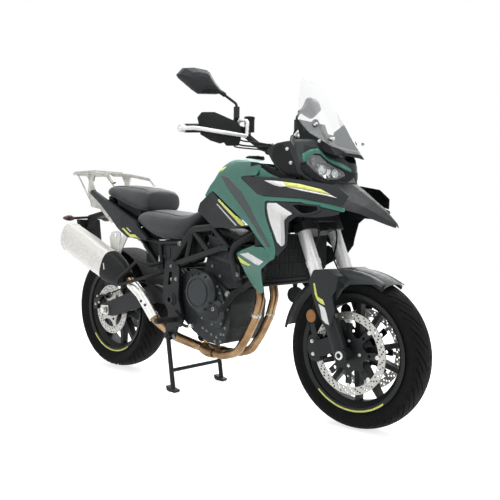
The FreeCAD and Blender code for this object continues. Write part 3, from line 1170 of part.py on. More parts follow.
def rear_caliper():
    bracket = slab(about(REAR_AXLE, [(10, 26), (-40, 32), (-84, 68), (-112, 48), (-104, 2), (-44, -28), (10, -26)]),
                   -ARM_GAP_RIGHT, -ARM_GAP_RIGHT + 6, 10)
    bracket = bracket.cut(disc(REAR_AXLE, SPACER_D / 2, -100, -60))
    body = slab(about(REAR_AXLE, [(-70, 76), (-128, 48), (-132, -4), (-104, -8), (-84, 38), (-60, 60)]),
                -REAR_DISC_Y - 26, -REAR_DISC_Y + 24, 8)
    slot = disc(REAR_AXLE, REAR_DISC_R + 5, -REAR_DISC_Y - 6, -REAR_DISC_Y + 6)
    return body.cut(slot).fuse(bracket)


def foot_controls():
    """Footpegs, heel guards, brake pedal and gear lever."""
    right = []
    plate_out = PLATE_IN + PLATE_T
    hanger = slab([(584, 316), (566, 372), (600, 384), (662, 344), (642, 308)],
                  -plate_out - 10, -plate_out, 10)
    peg = rod(Vec(604, -plate_out - 6, 340), Vec(596, -268, 344), 24)
    right = [hanger, peg]
    pedal = tube([Vec(644, -plate_out - 6, 326), Vec(700, -176, 322), Vec(760, -182, 332), Vec(786, -232, 338)], 14, 30)
    lever = tube([Vec(644, plate_out + 6, 326), Vec(700, 176, 326), Vec(760, 180, 338), Vec(786, 226, 344)], 12, 30)
    return Part.makeCompound([fuse(right + [pedal]), fuse([mirror(s) for s in right] + [lever])])


# Stands
STAND_PIVOT = Vec(558, 0, 262)
STAND_LEG_Y = 161.0
STAND_FOOT_X = 600.0
STAND_LEG_D = 22.0


def centre_stand():
    """Two legs outboard of the pivot plates; deployed, its feet are on the ground."""
    legs = []
    boss_in = PLATE_IN + PLATE_T + 0.3
    for side in SIDES:
        boss = rod(STAND_PIVOT + Vec(0, side * boss_in, 0),
                   STAND_PIVOT + Vec(0, side * (STAND_LEG_Y + 10), 0), 34)
        foot = Vec(STAND_FOOT_X, side * STAND_LEG_Y, 14)
        leg = rod(STAND_PIVOT + Vec(0, side * STAND_LEG_Y, 0), foot, STAND_LEG_D)
        sole = [(-40, 26), (-34, 5), (-18, 0), (24, 0), (32, 12), (12, 16)]
        y0, y1 = sorted((side * (STAND_LEG_Y - 16), side * (STAND_LEG_Y + 12)))
        pad = slab([(STAND_FOOT_X + x, z) for x, z in sole], y0, y1, 3)
        legs += [boss, leg, pad]
    share = 0.66
    middle = STAND_PIVOT + (Vec(STAND_FOOT_X, 0, 14) - STAND_PIVOT) * share
    brace = rod(middle + Vec(0, -STAND_LEG_Y, 0), middle + Vec(0, STAND_LEG_Y, 0), 18)
    pins = fuse([rod(STAND_PIVOT + Vec(0, side * (PLATE_IN - 4), 0),
                     STAND_PIVOT + Vec(0, side * (STAND_LEG_Y + 20), 0), STAND_PIN_D + 0.1)
                 for side in SIDES])
    return fuse(legs + [brace]).cut(pins)


SIDE_PIVOT = Vec(700, 166, 268)
SIDE_AXIS = Vec(0.07, -0.8929, -0.4447)


def side_stand():
    """Folded up along the left side."""
    foot = Vec(430, 192, 196)
    leg = tube([SIDE_PIVOT + Vec(14, 0, 0), SIDE_PIVOT + Vec(-50, 20, -8), foot], 20, 60)
    sole = rod(foot + Vec(-2, -4, 0), foot + Vec(-10, 6, -4), 46)
    boss = rod(SIDE_PIVOT - SIDE_AXIS * 11, SIDE_PIVOT + SIDE_AXIS * 11, 30)
    bore = rod(SIDE_PIVOT - SIDE_AXIS * 40, SIDE_PIVOT + SIDE_AXIS * 40, SIDE_PIN_D + 0.1)
    return fuse([leg, sole, boss]).cut(bore)


def build():
    add("frame", frame().fuse(fairing_stay()))
    add("engine", engine().cut(NODES["frame"]))
    add("engine_covers", engine_covers())
    add("radiator", radiator())
    add("exhaust_pipes", exhaust_pipes().cut(NODES["engine"]))
    add("heat_shield", heat_shield())
    add("silencer", silencer())
    add("silencer_cover", silencer_cover())
    add("airbox", airbox().cut(NODES["frame"]))
    add("side_panels", side_panels().cut(NODES["radiator"]))
    add("fuel_tank", main_solid(fuel_tank().cut(NODES["side_panels"]).cut(NODES["frame"])))
    add("knee_panels", knee_panels().cut(NODES["side_panels"]))
    add("strakes", strakes().cut(NODES["side_panels"]))
    add("winglets", winglets())
    add("nose_cowl", nose_cowl())
    add("headlamp", headlamp())
    add("beak", beak().cut(NODES["nose_cowl"]).cut(NODES["headlamp"]))
    add("screen_bracket", screen_bracket().cut(NODES["nose_cowl"]))
    add("windscreen", windscreen())
    add("tail_panels", tail_panels())
    add("pillion_seat", pillion_seat().cut(NODES["tail_panels"]))
    seat = rider_seat().cut(NODES["pillion_seat"]).cut(NODES["tail_panels"])
    add("rider_seat", main_solid(seat.cut(NODES["frame"])))
    add("rack", rack().cut(NODES["tail_panels"]))
    add("tail_lamp", tail_lamp().cut(NODES["tail_panels"]).cut(NODES["pillion_seat"]))
    add("swing_arm", swing_arm())
    add("shock", shock().cut(NODES["swing_arm"]).cut(NODES["frame"]))
    add("hugger", hugger().cut(NODES["swing_arm"]))
    add("chain", chain().cut(NODES["engine"]))
    add("rear_caliper", rear_caliper().cut(NODES["swing_arm"]))
    add("foot_controls", foot_controls())
    add("yokes", yokes())
    add("fork", fork())
    add("front_fender", front_fender())
    add("handlebar", handlebar().cut(NODES["yokes"]))
    add("controls", controls().cut(NODES["handlebar"]))
    add("hand_guards", hand_guards().cut(NODES["controls"]).cut(NODES["handlebar"]))
    add("mirrors", mirrors().cut(NODES["controls"]))
    add("front_calipers", front_calipers().cut(NODES["fork"]))
    add("centre_stand", centre_stand())
    add("side_stand", side_stand())
    for name, shape in {**front_wheel(), **rear_wheel()}.items():
        add(name, shape)


if __name__ == "__main__":
    build()
    os.makedirs("parts", exist_ok=True)
    for name, shape in NODES.items():
        placed = shape.copy()
        placed.translate(Vec(-MID_X, 0, 0))
        placed.exportStep("parts/" + name + ".step")
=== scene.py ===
import bmesh
import bpy
import math
from mathutils import Matrix, Vector, geometry
from mathutils.bvhtree import BVHTree


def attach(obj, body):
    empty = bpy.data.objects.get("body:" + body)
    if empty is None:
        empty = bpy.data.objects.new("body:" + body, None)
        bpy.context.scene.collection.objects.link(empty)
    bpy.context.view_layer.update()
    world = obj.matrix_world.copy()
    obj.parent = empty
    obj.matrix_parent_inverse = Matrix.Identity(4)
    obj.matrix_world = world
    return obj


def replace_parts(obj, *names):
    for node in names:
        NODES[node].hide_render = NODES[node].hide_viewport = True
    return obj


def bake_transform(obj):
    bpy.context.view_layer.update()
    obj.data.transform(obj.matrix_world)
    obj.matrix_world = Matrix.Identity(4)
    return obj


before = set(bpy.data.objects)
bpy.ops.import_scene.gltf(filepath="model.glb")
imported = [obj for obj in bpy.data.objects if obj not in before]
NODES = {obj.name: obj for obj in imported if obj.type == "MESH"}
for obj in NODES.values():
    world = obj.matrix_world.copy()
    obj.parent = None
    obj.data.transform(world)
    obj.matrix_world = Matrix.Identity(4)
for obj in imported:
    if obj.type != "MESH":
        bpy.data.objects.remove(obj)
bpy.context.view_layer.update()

MID_X = 0.7075
RIGHT, LEFT = -1, 1
SIDES = (RIGHT, LEFT)
TAGS = {RIGHT: "r", LEFT: "l"}
FRONT_AXLE = (1505.0, 0.0, 300.0)
REAR_AXLE = (0.0, 0.0, 324.0)
CLEAR_OF_ALL = 600
UP, DOWN = (0, 0, 1), (0, 0, -1)


def place(x, y, z):
    """Millimetres ahead of the rear axle, left and up, as a point of the frame."""
    return Vector((x / 1000 - MID_X, y / 1000, z / 1000))


def millimetres(point):
    """A point of the frame as millimetres ahead of the rear axle, left and up."""
    return (point.x * 1000 + MID_X * 1000, point.y * 1000, point.z * 1000)


def outwards(side):
    return (0, side, 0)


def fractions(count):
    """Equal steps of a full turn."""
    return [2 * math.pi * k / count for k in range(count)]


def spoke(axle, radius, turn, y=0):
    """Point at a radius and a turn about an axle."""
    return (axle[0] + radius * math.cos(turn), y, axle[2] + radius * math.sin(turn))


def around(axle, radius, turn):
    """The same, seen from the side as (x, z)."""
    x, _, z = spoke(axle, radius, turn)
    return (x, z)


def show(name, data):
    """An object for the data, in the scene."""
    made = bpy.data.objects.new(name, data)
    bpy.context.scene.collection.objects.link(made)
    return made


# Camera, from the photograph's wheels, axles and bar ends
CAMERA_SPOT = (2859.065, -2149.822, 786.063)
CAMERA_YAW, CAMERA_PITCH, CAMERA_ROLL = (math.radians(a) for a in (41.946, 2.199, 0.837))


def make_camera():
    level = math.cos(CAMERA_PITCH)
    look = Vector((-math.sin(CAMERA_YAW) * level, math.cos(CAMERA_YAW) * level, -math.sin(CAMERA_PITCH)))
    right = Vector((math.cos(CAMERA_YAW), math.sin(CAMERA_YAW), 0))
    up = right.cross(look)
    rolled_right = right * math.cos(CAMERA_ROLL) + up * math.sin(CAMERA_ROLL)
    rolled_up = up * math.cos(CAMERA_ROLL) - right * math.sin(CAMERA_ROLL)
    data = bpy.data.cameras.new("camera")
    data.sensor_width = 36.0
    data.lens = 46.263
    data.clip_end = 60
    camera = show("camera", data)
    turn = Matrix((rolled_right, rolled_up, -look)).transposed()
    camera.matrix_world = Matrix.Translation(place(*CAMERA_SPOT)) @ turn.to_4x4()
    bpy.context.scene.camera = camera


make_camera()


# Materials
def add_node(tree, kind, inputs=(), **settings):
    """A node of a tree; each input is an output to link or a constant."""
    made = tree.nodes.new(kind)
    for key, value in settings.items():
        setattr(made, key, value)
    for key, value in dict(inputs).items():
        if isinstance(value, bpy.types.NodeSocket):
            tree.links.new(value, made.inputs[key])
        else:
            made.inputs[key].default_value = value
    return made


class Shader:
    """A principled material and short ways of adding nodes to it."""

    def __init__(self, name):
        self.material = bpy.data.materials.new(name)
        self.material.use_nodes = True
        self.tree = self.material.node_tree
        self.bsdf = self.tree.nodes["Principled BSDF"]
        self.coords = self.node("ShaderNodeTexCoord").outputs["Object"]

    def node(self, kind, inputs=(), **settings):
        return add_node(self.tree, kind, inputs, **settings)

    def set(self, **values):
        for key, value in values.items():
            self.bsdf.inputs[key.replace("_", " ")].default_value = value

    def link(self, source, socket):
        self.tree.links.new(source, self.bsdf.inputs[socket])

    def noise(self, scale, detail=3.0, stretch=None):
        source = self.coords
        if stretch:
            source = self.node("ShaderNodeMapping", {"Vector": source, "Scale": stretch}).outputs["Vector"]
        made = self.node("ShaderNodeTexNoise", {"Vector": source, "Scale": scale, "Detail": detail})
        return made.outputs["Fac"]

    def cells(self, scale):
        return self.node("ShaderNodeTexVoronoi",
                         {"Vector": self.coords, "Scale": scale}).outputs["Distance"]

    def ramp(self, source, low, high, start=0.3, end=0.7):
        made = self.node("ShaderNodeValToRGB", {"Fac": source})
        for element, position, colour in zip(made.color_ramp.elements, (start, end), (low, high)):
            element.position = position
            element.color = (*colour, 1)
        return made.outputs["Color"]

    def shades(self, source, colour, darker, lighter, start=0.3):
        """Cloudy shades of one colour."""
        return self.ramp(source, scaled(colour, darker), scaled(colour, lighter), start, 1 - start)

    def span(self, source, low, high, start=0.3, end=0.7):
        return self.node("ShaderNodeMapRange", {"Value": source, "From Min": start, "From Max": end,
                                                "To Min": low, "To Max": high}).outputs["Result"]

    def mix(self, share, tone, colour):
        return self.node("ShaderNodeMix", {0: share, 6: tone, 7: (*colour, 1)}, data_type="RGBA").outputs[2]

    def wear(self, tone, colour, amount, brighter):
        """A tone rubbed lighter at the convex edges."""
        points = self.node("ShaderNodeNewGeometry").outputs["Pointiness"]
        edges = self.span(points, 0.0, 1.0, 0.52, 0.58)
        return self.mix(self.span(edges, 0.0, amount, 0.0, 1.0), tone, scaled(colour, brighter))

    def finish(self, tone, grain, smoothest, roughest, **sockets):
        """Colour, a roughness that varies with the grain, and constants for other sockets."""
        self.link(tone, "Base Color")
        self.link(self.span(grain, smoothest, roughest), "Roughness")
        self.set(**sockets)

    def bump(self, height, strength, distance):
        made = self.node("ShaderNodeBump", {"Height": height, "Strength": strength, "Distance": distance})
        self.link(made.outputs["Normal"], "Normal")
        return self.material


def srgb(red, green, blue):
    """Linear colour of an 8-bit screen colour."""
    def linear(value):
        value /= 255
        return value / 12.92 if value <= 0.04045 else ((value + 0.055) / 1.055) ** 2.4
    return tuple(round(linear(v), 4) for v in (red, green, blue))


def scaled(colour, by):
    return tuple(min(1.0, c * by) for c in colour)


def paint(name, colour, rough, flake=0.0, coat=0.1):
    s = Shader(name)
    flecks = s.span(s.noise(2600.0, 1.0), 0.0, 0.35 if flake else 0.08, 0.45, 0.75)
    tone = s.mix(flecks, s.shades(s.noise(7.0, 2.0), colour, 0.93, 1.07, 0.35), scaled(colour, 1.6))
    s.finish(s.wear(tone, colour, 0.25, 1.8), s.noise(40.0), rough - 0.05, rough + 0.06, Metallic=flake,
             Coat_Weight=coat, Coat_Roughness=0.22)
    return s.bump(s.noise(900.0, 2.0), 0.05, 0.0002)


def plastic(name, colour, rough, grain):
    s = Shader(name)
    tone = s.wear(s.shades(s.noise(12.0), colour, 0.85, 1.18), colour, 0.2, 1.8)
    s.finish(tone, s.noise(60.0), rough - 0.07, rough + 0.08, Specular_IOR_Level=0.22)
    return s.bump(s.cells(1500.0), grain, 0.0003)


def metal(name, colour, rough, metallic, grain, scale, worn=0.1, stretch=None):
    s = Shader(name)
    streaks = s.noise(scale, 4.0, stretch)
    tone = s.wear(s.shades(streaks, colour, 0.86, 1.12), colour, worn, 1.5)
    s.finish(tone, s.noise(scale * 0.5, 3.0, stretch), rough - 0.07, rough + 0.1, Metallic=metallic,
             Specular_IOR_Level=0.3)
    return s.bump(streaks, grain, 0.0003)


def cast_metal(name, colour, rough, metallic):
    s = Shader(name)
    tone = s.wear(s.shades(s.noise(30.0, 4.0), colour, 0.75, 1.25), colour, 0.3, 2.0)
    s.finish(tone, s.noise(80.0), rough - 0.08, rough + 0.1, Metallic=metallic, Specular_IOR_Level=0.3)
    return s.bump(s.noise(900.0, 5.0), 0.35, 0.0006)


def heated_steel(name):
    """Straw and bronze tints in slow bands, with darker clouds."""
    s = Shader(name)
    tone = s.ramp(s.noise(9.0), srgb(134, 106, 76), srgb(184, 154, 116), 0.35, 0.65)
    tone = s.mix(s.span(s.noise(24.0, 2.0), 0.0, 0.45), tone, srgb(92, 74, 58))
    s.finish(tone, s.noise(70.0), 0.24, 0.42, Metallic=1.0)
    return s.bump(s.noise(500.0), 0.06, 0.0003)


def rubber(name, colour, rough):
    s = Shader(name)
    tone = s.shades(s.noise(18.0, 4.0), colour, 0.7, 1.6)
    s.finish(tone, s.noise(90.0), rough - 0.08, rough + 0.1, Specular_IOR_Level=0.12)
    return s.bump(s.noise(1400.0, 4.0), 0.3, 0.0004)


def leather(name, colour, rough):
    s = Shader(name)
    tone = s.shades(s.noise(15.0), colour, 0.85, 1.15)
    s.finish(tone, s.noise(60.0), rough - 0.06, rough + 0.1, Sheen_Weight=0.3, Sheen_Roughness=0.5,
             Specular_IOR_Level=0.3)
    return s.bump(s.cells(620.0), 0.35, 0.0005)


def clear_sheet(name, tint, rough, amount):
    """Thin clear plastic: mostly let through, with a gloss on it."""
    s = Shader(name)
    s.link(s.shades(s.noise(6.0), tint, 0.97, 1.0), "Base Color")
    s.set(Roughness=rough, IOR=1.45, Alpha=1.0 - amount, Specular_IOR_Level=0.6)
    return s.bump(s.noise(40.0), 0.01, 0.0002)


def glow(name, colour, strength):
    s = Shader(name)
    s.link(s.shades(s.noise(30.0), colour, 0.9, 1.0), "Base Color")
    s.set(Roughness=0.2, Emission_Color=(*colour, 1), Emission_Strength=strength)
    return s.material


GREEN = paint("satin_green", srgb(52, 108, 94), 0.4, 0.25, 0.2)
YELLOW = paint("yellow_tape", srgb(236, 244, 118), 0.42)
WHITE = paint("white_gloss", srgb(246, 247, 245), 0.25, 0.0, 0.5)
PALE = paint("pale_tape", srgb(206, 208, 206), 0.4)
# SHADE is painted shade: the dark band where the side panels' crease lies in shadow.
SHADE = paint("shaded_panel", srgb(56, 66, 64), 0.45, 0.1)
SPRING = paint("coated_spring", srgb(150, 150, 146), 0.35, 0.4, 0.2)
STRAP = paint("pale_silver", srgb(242, 242, 240), 0.34, 0.2, 0.3)
DARK = plastic("dark_satin_plastic", srgb(42, 45, 47), 0.46, 0.12)
BLACK = plastic("black_grained_plastic", srgb(19, 21, 22), 0.58, 0.3)
GREY = plastic("grey_satin_plastic", srgb(60, 64, 66), 0.38, 0.1)
REFLECTOR = plastic("brown_reflector", srgb(150, 108, 60), 0.25, 0.0)
GLASS_DARK = plastic("dark_display", srgb(16, 18, 20), 0.12, 0.0)
BLACK_METAL = metal("black_coated_metal", srgb(30, 32, 33), 0.44, 0.3, 0.06, 400.0, 0.5)
COVER = metal("grey_coated_cover", srgb(56, 60, 62), 0.42, 0.35, 0.08, 700.0, 0.5)
SILVER = metal("satin_alloy", srgb(206, 206, 202), 0.34, 0.9, 0.08, 260.0, 0.2)
BRUSHED = metal("brushed_silencer", srgb(226, 225, 221), 0.4, 0.45, 0.04, 60.0, 0.1, (1.0, 14.0, 1.0))
SATIN = metal("satin_tube", srgb(242, 243, 242), 0.36, 0.45, 0.03, 260.0)
POLISHED = metal("polished_steel", srgb(225, 226, 226), 0.14, 1.0, 0.03, 200.0)
GROUND = metal("ground_disc", srgb(182, 181, 177), 0.36, 0.7, 0.15, 380.0)
FASTENER = metal("plain_fastener", srgb(140, 141, 140), 0.4, 0.7, 0.05, 300.0, 0.2)
MIRROR_GLASS = metal("mirror_glass", srgb(215, 220, 222), 0.04, 1.0, 0.0, 20.0, 0.0)
CHROME = metal("lamp_reflector", srgb(225, 228, 230), 0.08, 1.0, 0.02, 120.0, 0.0)
CHAIN_STEEL = metal("oiled_chain", srgb(120, 112, 96), 0.4, 0.9, 0.1, 500.0, 0.4)
ENGINE = cast_metal("dark_cast_alloy", srgb(42, 45, 47), 0.5, 0.35)
CAST_SILVER = cast_metal("cast_alloy", srgb(178, 177, 172), 0.42, 0.75)
BRONZE = heated_steel("heat_tinted_steel")
TYRE = rubber("tyre_rubber", (0.0042, 0.0042, 0.0045), 0.7)
RUBBER = rubber("soft_rubber", (0.02, 0.02, 0.021), 0.55)
# The seat leather in two copies, a lighter one for faces that look up and a darker one for the sides:
# painted light and painted shade.
SEAT = leather("seat_cover", srgb(62, 65, 67), 0.46)
SEAT_SIDE_PAINTED_SHADE = leather("seat_side_painted_shade", srgb(50, 53, 55), 0.5)
SCREEN = clear_sheet("clear_screen", (0.86, 0.89, 0.9), 0.02, 0.82)
LENS = clear_sheet("lamp_lens", (0.93, 0.95, 0.96), 0.015, 0.8)
AMBER = glow("smoked_amber_lens", srgb(74, 40, 26), 0.02)
RED = glow("red_lens", srgb(150, 16, 14), 0.1)

NODE_LOOKS = (
    (BLACK_METAL, "frame radiator swing_arm shock rear_caliper foot_controls yokes handlebar"),
    (BLACK_METAL, "front_calipers centre_stand side_stand front_rim rear_rim"),
    (DARK, "knee_panels strakes beak nose_cowl tail_panels front_fender mirrors"),
    (BLACK, "silencer_cover airbox screen_bracket tail_lamp hugger controls hand_guards"),
    (GREEN, "fuel_tank side_panels"), (GROUND, "front_discs rear_disc rear_sprocket"),
    (SEAT, "rider_seat pillion_seat"), (TYRE, "front_tyre rear_tyre"), (ENGINE, "engine"),
    (COVER, "engine_covers"), (BRONZE, "exhaust_pipes"), (SILVER, "heat_shield"), (BRUSHED, "silencer"),
    (WHITE, "winglets"), (LENS, "headlamp"), (SCREEN, "windscreen"), (CAST_SILVER, "rack"),
    (CHAIN_STEEL, "chain"), (SATIN, "fork"),
)
for look, names in NODE_LOOKS:
    for node_name in names.split():
        mesh = NODES[node_name].data
        mesh.materials.clear()
        mesh.materials.append(look)


# Floor and light
FLOOR_HALF = 14.0
LAMPS = (
    ("top_light", (0.2, 0.2, 3.9), (0, 0, 0.6), (4.4, 3.4), 150),
    ("side_light", (-1.2, -4.2, 2.4), (-0.1, 0, 0.6), (3.4, 1.6), 36),
    ("front_light", (4.4, -0.4, 1.9), (0.3, 0, 0.6), (1.6, 2.2), 24),
    ("back_light", (-1.4, 3.4, 3.0), (0, 0, 0.8), (3.4, 2.0), 80),
)


def seen_by(tree, *kinds):
    """Light path output that is 1 for any of the kinds of ray."""
    rays = add_node(tree, "ShaderNodeLightPath").outputs
    seen = rays[kinds[0]]
    for kind in kinds[1:]:
        seen = add_node(tree, "ShaderNodeMath", {0: seen, 1: rays[kind]}, operation="MAXIMUM").outputs[0]
    return seen


def make_floor():
    """A pale floor that is brighter where the camera sees it."""
    half = FLOOR_HALF
    data = bpy.data.meshes.new("floor")
    data.from_pydata([(-half, -half, 0), (half, -half, 0), (half, half, 0), (-half, half, 0)], [],
                     [(0, 1, 2, 3)])
    show("floor", data)
    s = Shader("pale_floor")
    s.set(Roughness=0.9, Specular_IOR_Level=0.1)
    s.link(s.ramp(s.noise(2.0), (0.80, 0.80, 0.80), (0.83, 0.83, 0.83), 0.0, 1.0), "Base Color")
    plain = s.bsdf.outputs["BSDF"]
    light = s.node("ShaderNodeEmission", {"Strength": 0.74}).outputs["Emission"]
    bright = s.node("ShaderNodeAddShader", {0: plain, 1: light}).outputs[0]
    seen = seen_by(s.tree, "Is Camera Ray", "Is Glossy Ray")
    pick = s.node("ShaderNodeMixShader", {0: seen, 1: plain, 2: bright}).outputs[0]
    s.tree.links.new(pick, s.tree.nodes["Material Output"].inputs["Surface"])
    data.materials.append(s.material)


def make_world():
    """Soft light from all round, and white where it is seen or mirrored."""
    world = bpy.data.worlds.new("studio")
    bpy.context.scene.world = world
    world.use_nodes = True
    tree = world.node_tree
    soft = tree.nodes["Background"]
    soft.inputs["Strength"].default_value = 0.3
    soft.inputs["Color"].default_value = (1, 1, 1, 1)
    white = add_node(tree, "ShaderNodeBackground", {"Color": (1, 1, 1, 1), "Strength": 1.0})
    seen = seen_by(tree, "Is Camera Ray", "Is Glossy Ray", "Is Transmission Ray")
    pick = add_node(tree, "ShaderNodeMixShader", {0: seen, 1: soft.outputs[0], 2: white.outputs[0]})
    tree.links.new(pick.outputs[0], tree.nodes["World Output"].inputs["Surface"])


def make_lamps():
    for name, spot, aim, size, power in LAMPS:
        data = bpy.data.lights.new(name, "AREA")
        data.shape = "RECTANGLE"
        data.size, data.size_y = size
        data.energy = power
        lamp = show(name, data)
        lamp.location = spot
        lamp.rotation_euler = (Vector(aim) - Vector(spot)).to_track_quat("-Z", "Y").to_euler()


make_floor()
make_world()
make_lamps()
bpy.context.scene.view_settings.view_transform = "Standard"


# Mesh tools
def piece(name, bm, look, body, smooth=35.0):
    """A mesh object made from bm, riding on a body if one is given."""
    data = bpy.data.meshes.new(name)
    bm.to_mesh(data)
    bm.free()
    for polygon in data.polygons:
        polygon.use_smooth = True
    if smooth < 180:
        data.set_sharp_from_angle(angle=math.radians(smooth))
    obj = show(name, data)
    data.materials.append(look)
    if body:
        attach(obj, body)
    return obj


def drop_loose(bm):
    """Points without a face go, and the faces' normals are made even."""
    bmesh.ops.delete(bm, geom=[v for v in bm.verts if not v.link_faces], context="VERTS")
    bmesh.ops.recalc_face_normals(bm, faces=bm.faces)


def sheet(name, bm, look, body, smooth, axis, sign, thick):
    """A piece from an open sheet that looks along an axis, with its thickness in millimetres."""
    drop_loose(bm)
    if bm.faces[:][0].normal[axis] * sign < 0:
        bmesh.ops.reverse_faces(bm, faces=bm.faces)
    obj = piece(name, bm, look, body, smooth)
    solid = obj.modifiers.new("thickness", "SOLIDIFY")
    solid.thickness = thick / 1000
    solid.offset = -1.0
    return obj


def join_rows(bm, rows, closed=False):
    """Four-sided faces between neighbouring rows of points."""
    for low, high in zip(rows, rows[1:]):
        count = len(low)
        for k in range(count if closed else count - 1):
            n = (k + 1) % count
            bm.faces.new((low[k], low[n], high[n], high[k]))


def tree_of(meshes):
    """Ray tree over meshes."""
    points, faces = [], []
    for data in meshes:
        base = len(points)
        points += [v.co.copy() for v in data.vertices]
        faces += [[base + i for i in p.vertices] for p in data.polygons]
    return BVHTree.FromPolygons(points, faces)


def surface_of(*names):
    return tree_of([NODES[name].data for name in names])


def across(tree, side, x, z, reach=1.0):
    """Where a ray from one side meets a surface: point and normal."""
    return tree.ray_cast(place(x, side * CLEAR_OF_ALL, z), Vector(outwards(-side)), reach)[:2]


def rounded(outline, radius):
    """Closed outline with each corner turned by a short arc."""
    points = [Vector(p) for p in outline]
    out = []
    for i, corner in enumerate(points):
        to_before, to_after = points[i - 1] - corner, points[(i + 1) % len(points)] - corner
        reach = min(radius, to_before.length * 0.45, to_after.length * 0.45)
        start = corner + to_before.normalized() * reach
        end = corner + to_after.normalized() * reach
        for t in (k / 3 for k in range(4)):
            out.append(start * (1 - t) ** 2 + corner * 2 * t * (1 - t) + end * t ** 2)
    return out


def filled(rings, step):
    """Triangles over 2D outlines, the first one and those of its holes, with points inside."""
    points, edges = [], []
    for loop in rings:
        first = len(points)
        for a, b in zip(loop, loop[1:] + loop[:1]):
            parts = max(1, round((b - a).length / step))
            points.extend(a + (b - a) * (k / parts) for k in range(parts))
        count = len(points) - first
        edges.extend((first + k, first + (k + 1) % count) for k in range(count))
    rim = points[:]
    xs, ys = [p.x for p in rim], [p.y for p in rim]
    y = min(ys) + step / 2
    row = 0
    while y < max(ys):
        x = min(xs) + (step / 2 if row % 2 else 0)
        while x < max(xs):
            here = Vector((x, y))
            if min((here - p).length_squared for p in rim) > (step * 0.5) ** 2:
                points.append(here)
            x += step
        y += step * 0.87
        row += 1
    return triangles(points, edges, rings)


def triangles(points, edges, rings):
    """Triangles over the points, inside the first ring and outside the others."""
    made = geometry.delaunay_2d_cdt(points, edges, [], 1, 1e-6)
    outer, *gaps = [[tuple(p) for p in ring] for ring in rings]
    kept = []
    for f in made[2]:
        mid = sum((made[0][i] for i in f), Vector((0, 0))) / len(f)
        if inside(mid, outer) and not any(inside(mid, gap) for gap in gaps):
            kept.append(f)
    return made[0], kept


def inside(point, loop):
    x, y = point
    hit = False
    for a, b in zip(loop, loop[1:] + loop[:1]):
        if (a[1] > y) != (b[1] > y) and x < (b[0] - a[0]) * (y - a[1]) / (b[1] - a[1]) + a[0]:
            hit = not hit
    return hit


def cut_out(rings):
    """Triangles between rings, and the edges of their border."""
    points, edges = [], []
    for ring in rings:
        first, count = len(points), len(ring)
        points += [Vector(p) for p in ring]
        edges += [(first + k, first + (k + 1) % count) for k in range(count)]
    points, faces = triangles(points, edges, rings)
    border = {}
    for f in faces:
        for a, b in zip(f, list(f[1:]) + [f[0]]):
            key = (min(a, b), max(a, b))
            border[key] = None if key in border else (a, b)
    return points, faces, [pair for pair in border.values() if pair]


def decal(name, outline, tree, look, body="chassis", lift=0.5, radius=2.0, step=9.0, thick=0.6):
    """Thin film on both sides, inside an outline seen from the side, in millimetres."""
    points, faces = filled([rounded(outline, radius)], step)
    for side in SIDES:
        bm = bmesh.new()
        made = []
        last = None
        for p in points:
            spot, normal = across(tree, side, p.x, p.y)
            if spot is None or abs(spot.y) < 0.02 or spot.y * side < 0:
                origin = place(p.x, 0, p.y)
                near = Vector((origin.x, last.y if last else side * 0.15, origin.z))
                spot, normal, _, _ = tree.find_nearest(near)
            if normal.y * side < 0:
                normal = -normal
            last = spot
            made.append(bm.verts.new(spot + normal * lift / 1000))
        for f in faces:
            corners = [made[i] for i in f]
            bm.faces.new(corners if side == RIGHT else list(reversed(corners)))
        sheet(name + "_" + TAGS[side], bm, look, body, 60, 1, side, thick)


def film(name, side, outline, tree, look, lift, step=7.0, thick=0.6, holes=(), ripple=0.0, smooth=60.0):
    """Thin film on one side of the nose, inside an outline seen from the front, as (y, z)."""
    rings = [rounded([(side * y, z) for y, z in ring], 2.0) for ring in (outline, *holes)]
    points, faces = filled(rings, step)
    bm = bmesh.new()
    made = []
    for i, p in enumerate(points):
        spot, normal, _, _ = tree.ray_cast(place(2100, p.x, p.y), Vector((-1, 0, 0)), 1.2)
        if spot is None or spot.x < place(1300, 0, 0).x:
            spot, normal, _, _ = tree.find_nearest(place(1440, p.x, p.y))
            if normal.x < 0:
                normal = -normal
        push = lift + (ripple if (i * 7) % 3 == 0 else -ripple * ((i * 5) % 2))
        made.append(bm.verts.new(spot + normal * push / 1000))
    for f in faces:
        bm.faces.new([made[i] for i in f])
    sheet(name + "_" + TAGS[side], bm, look, "chassis", smooth, 0, 1, thick)


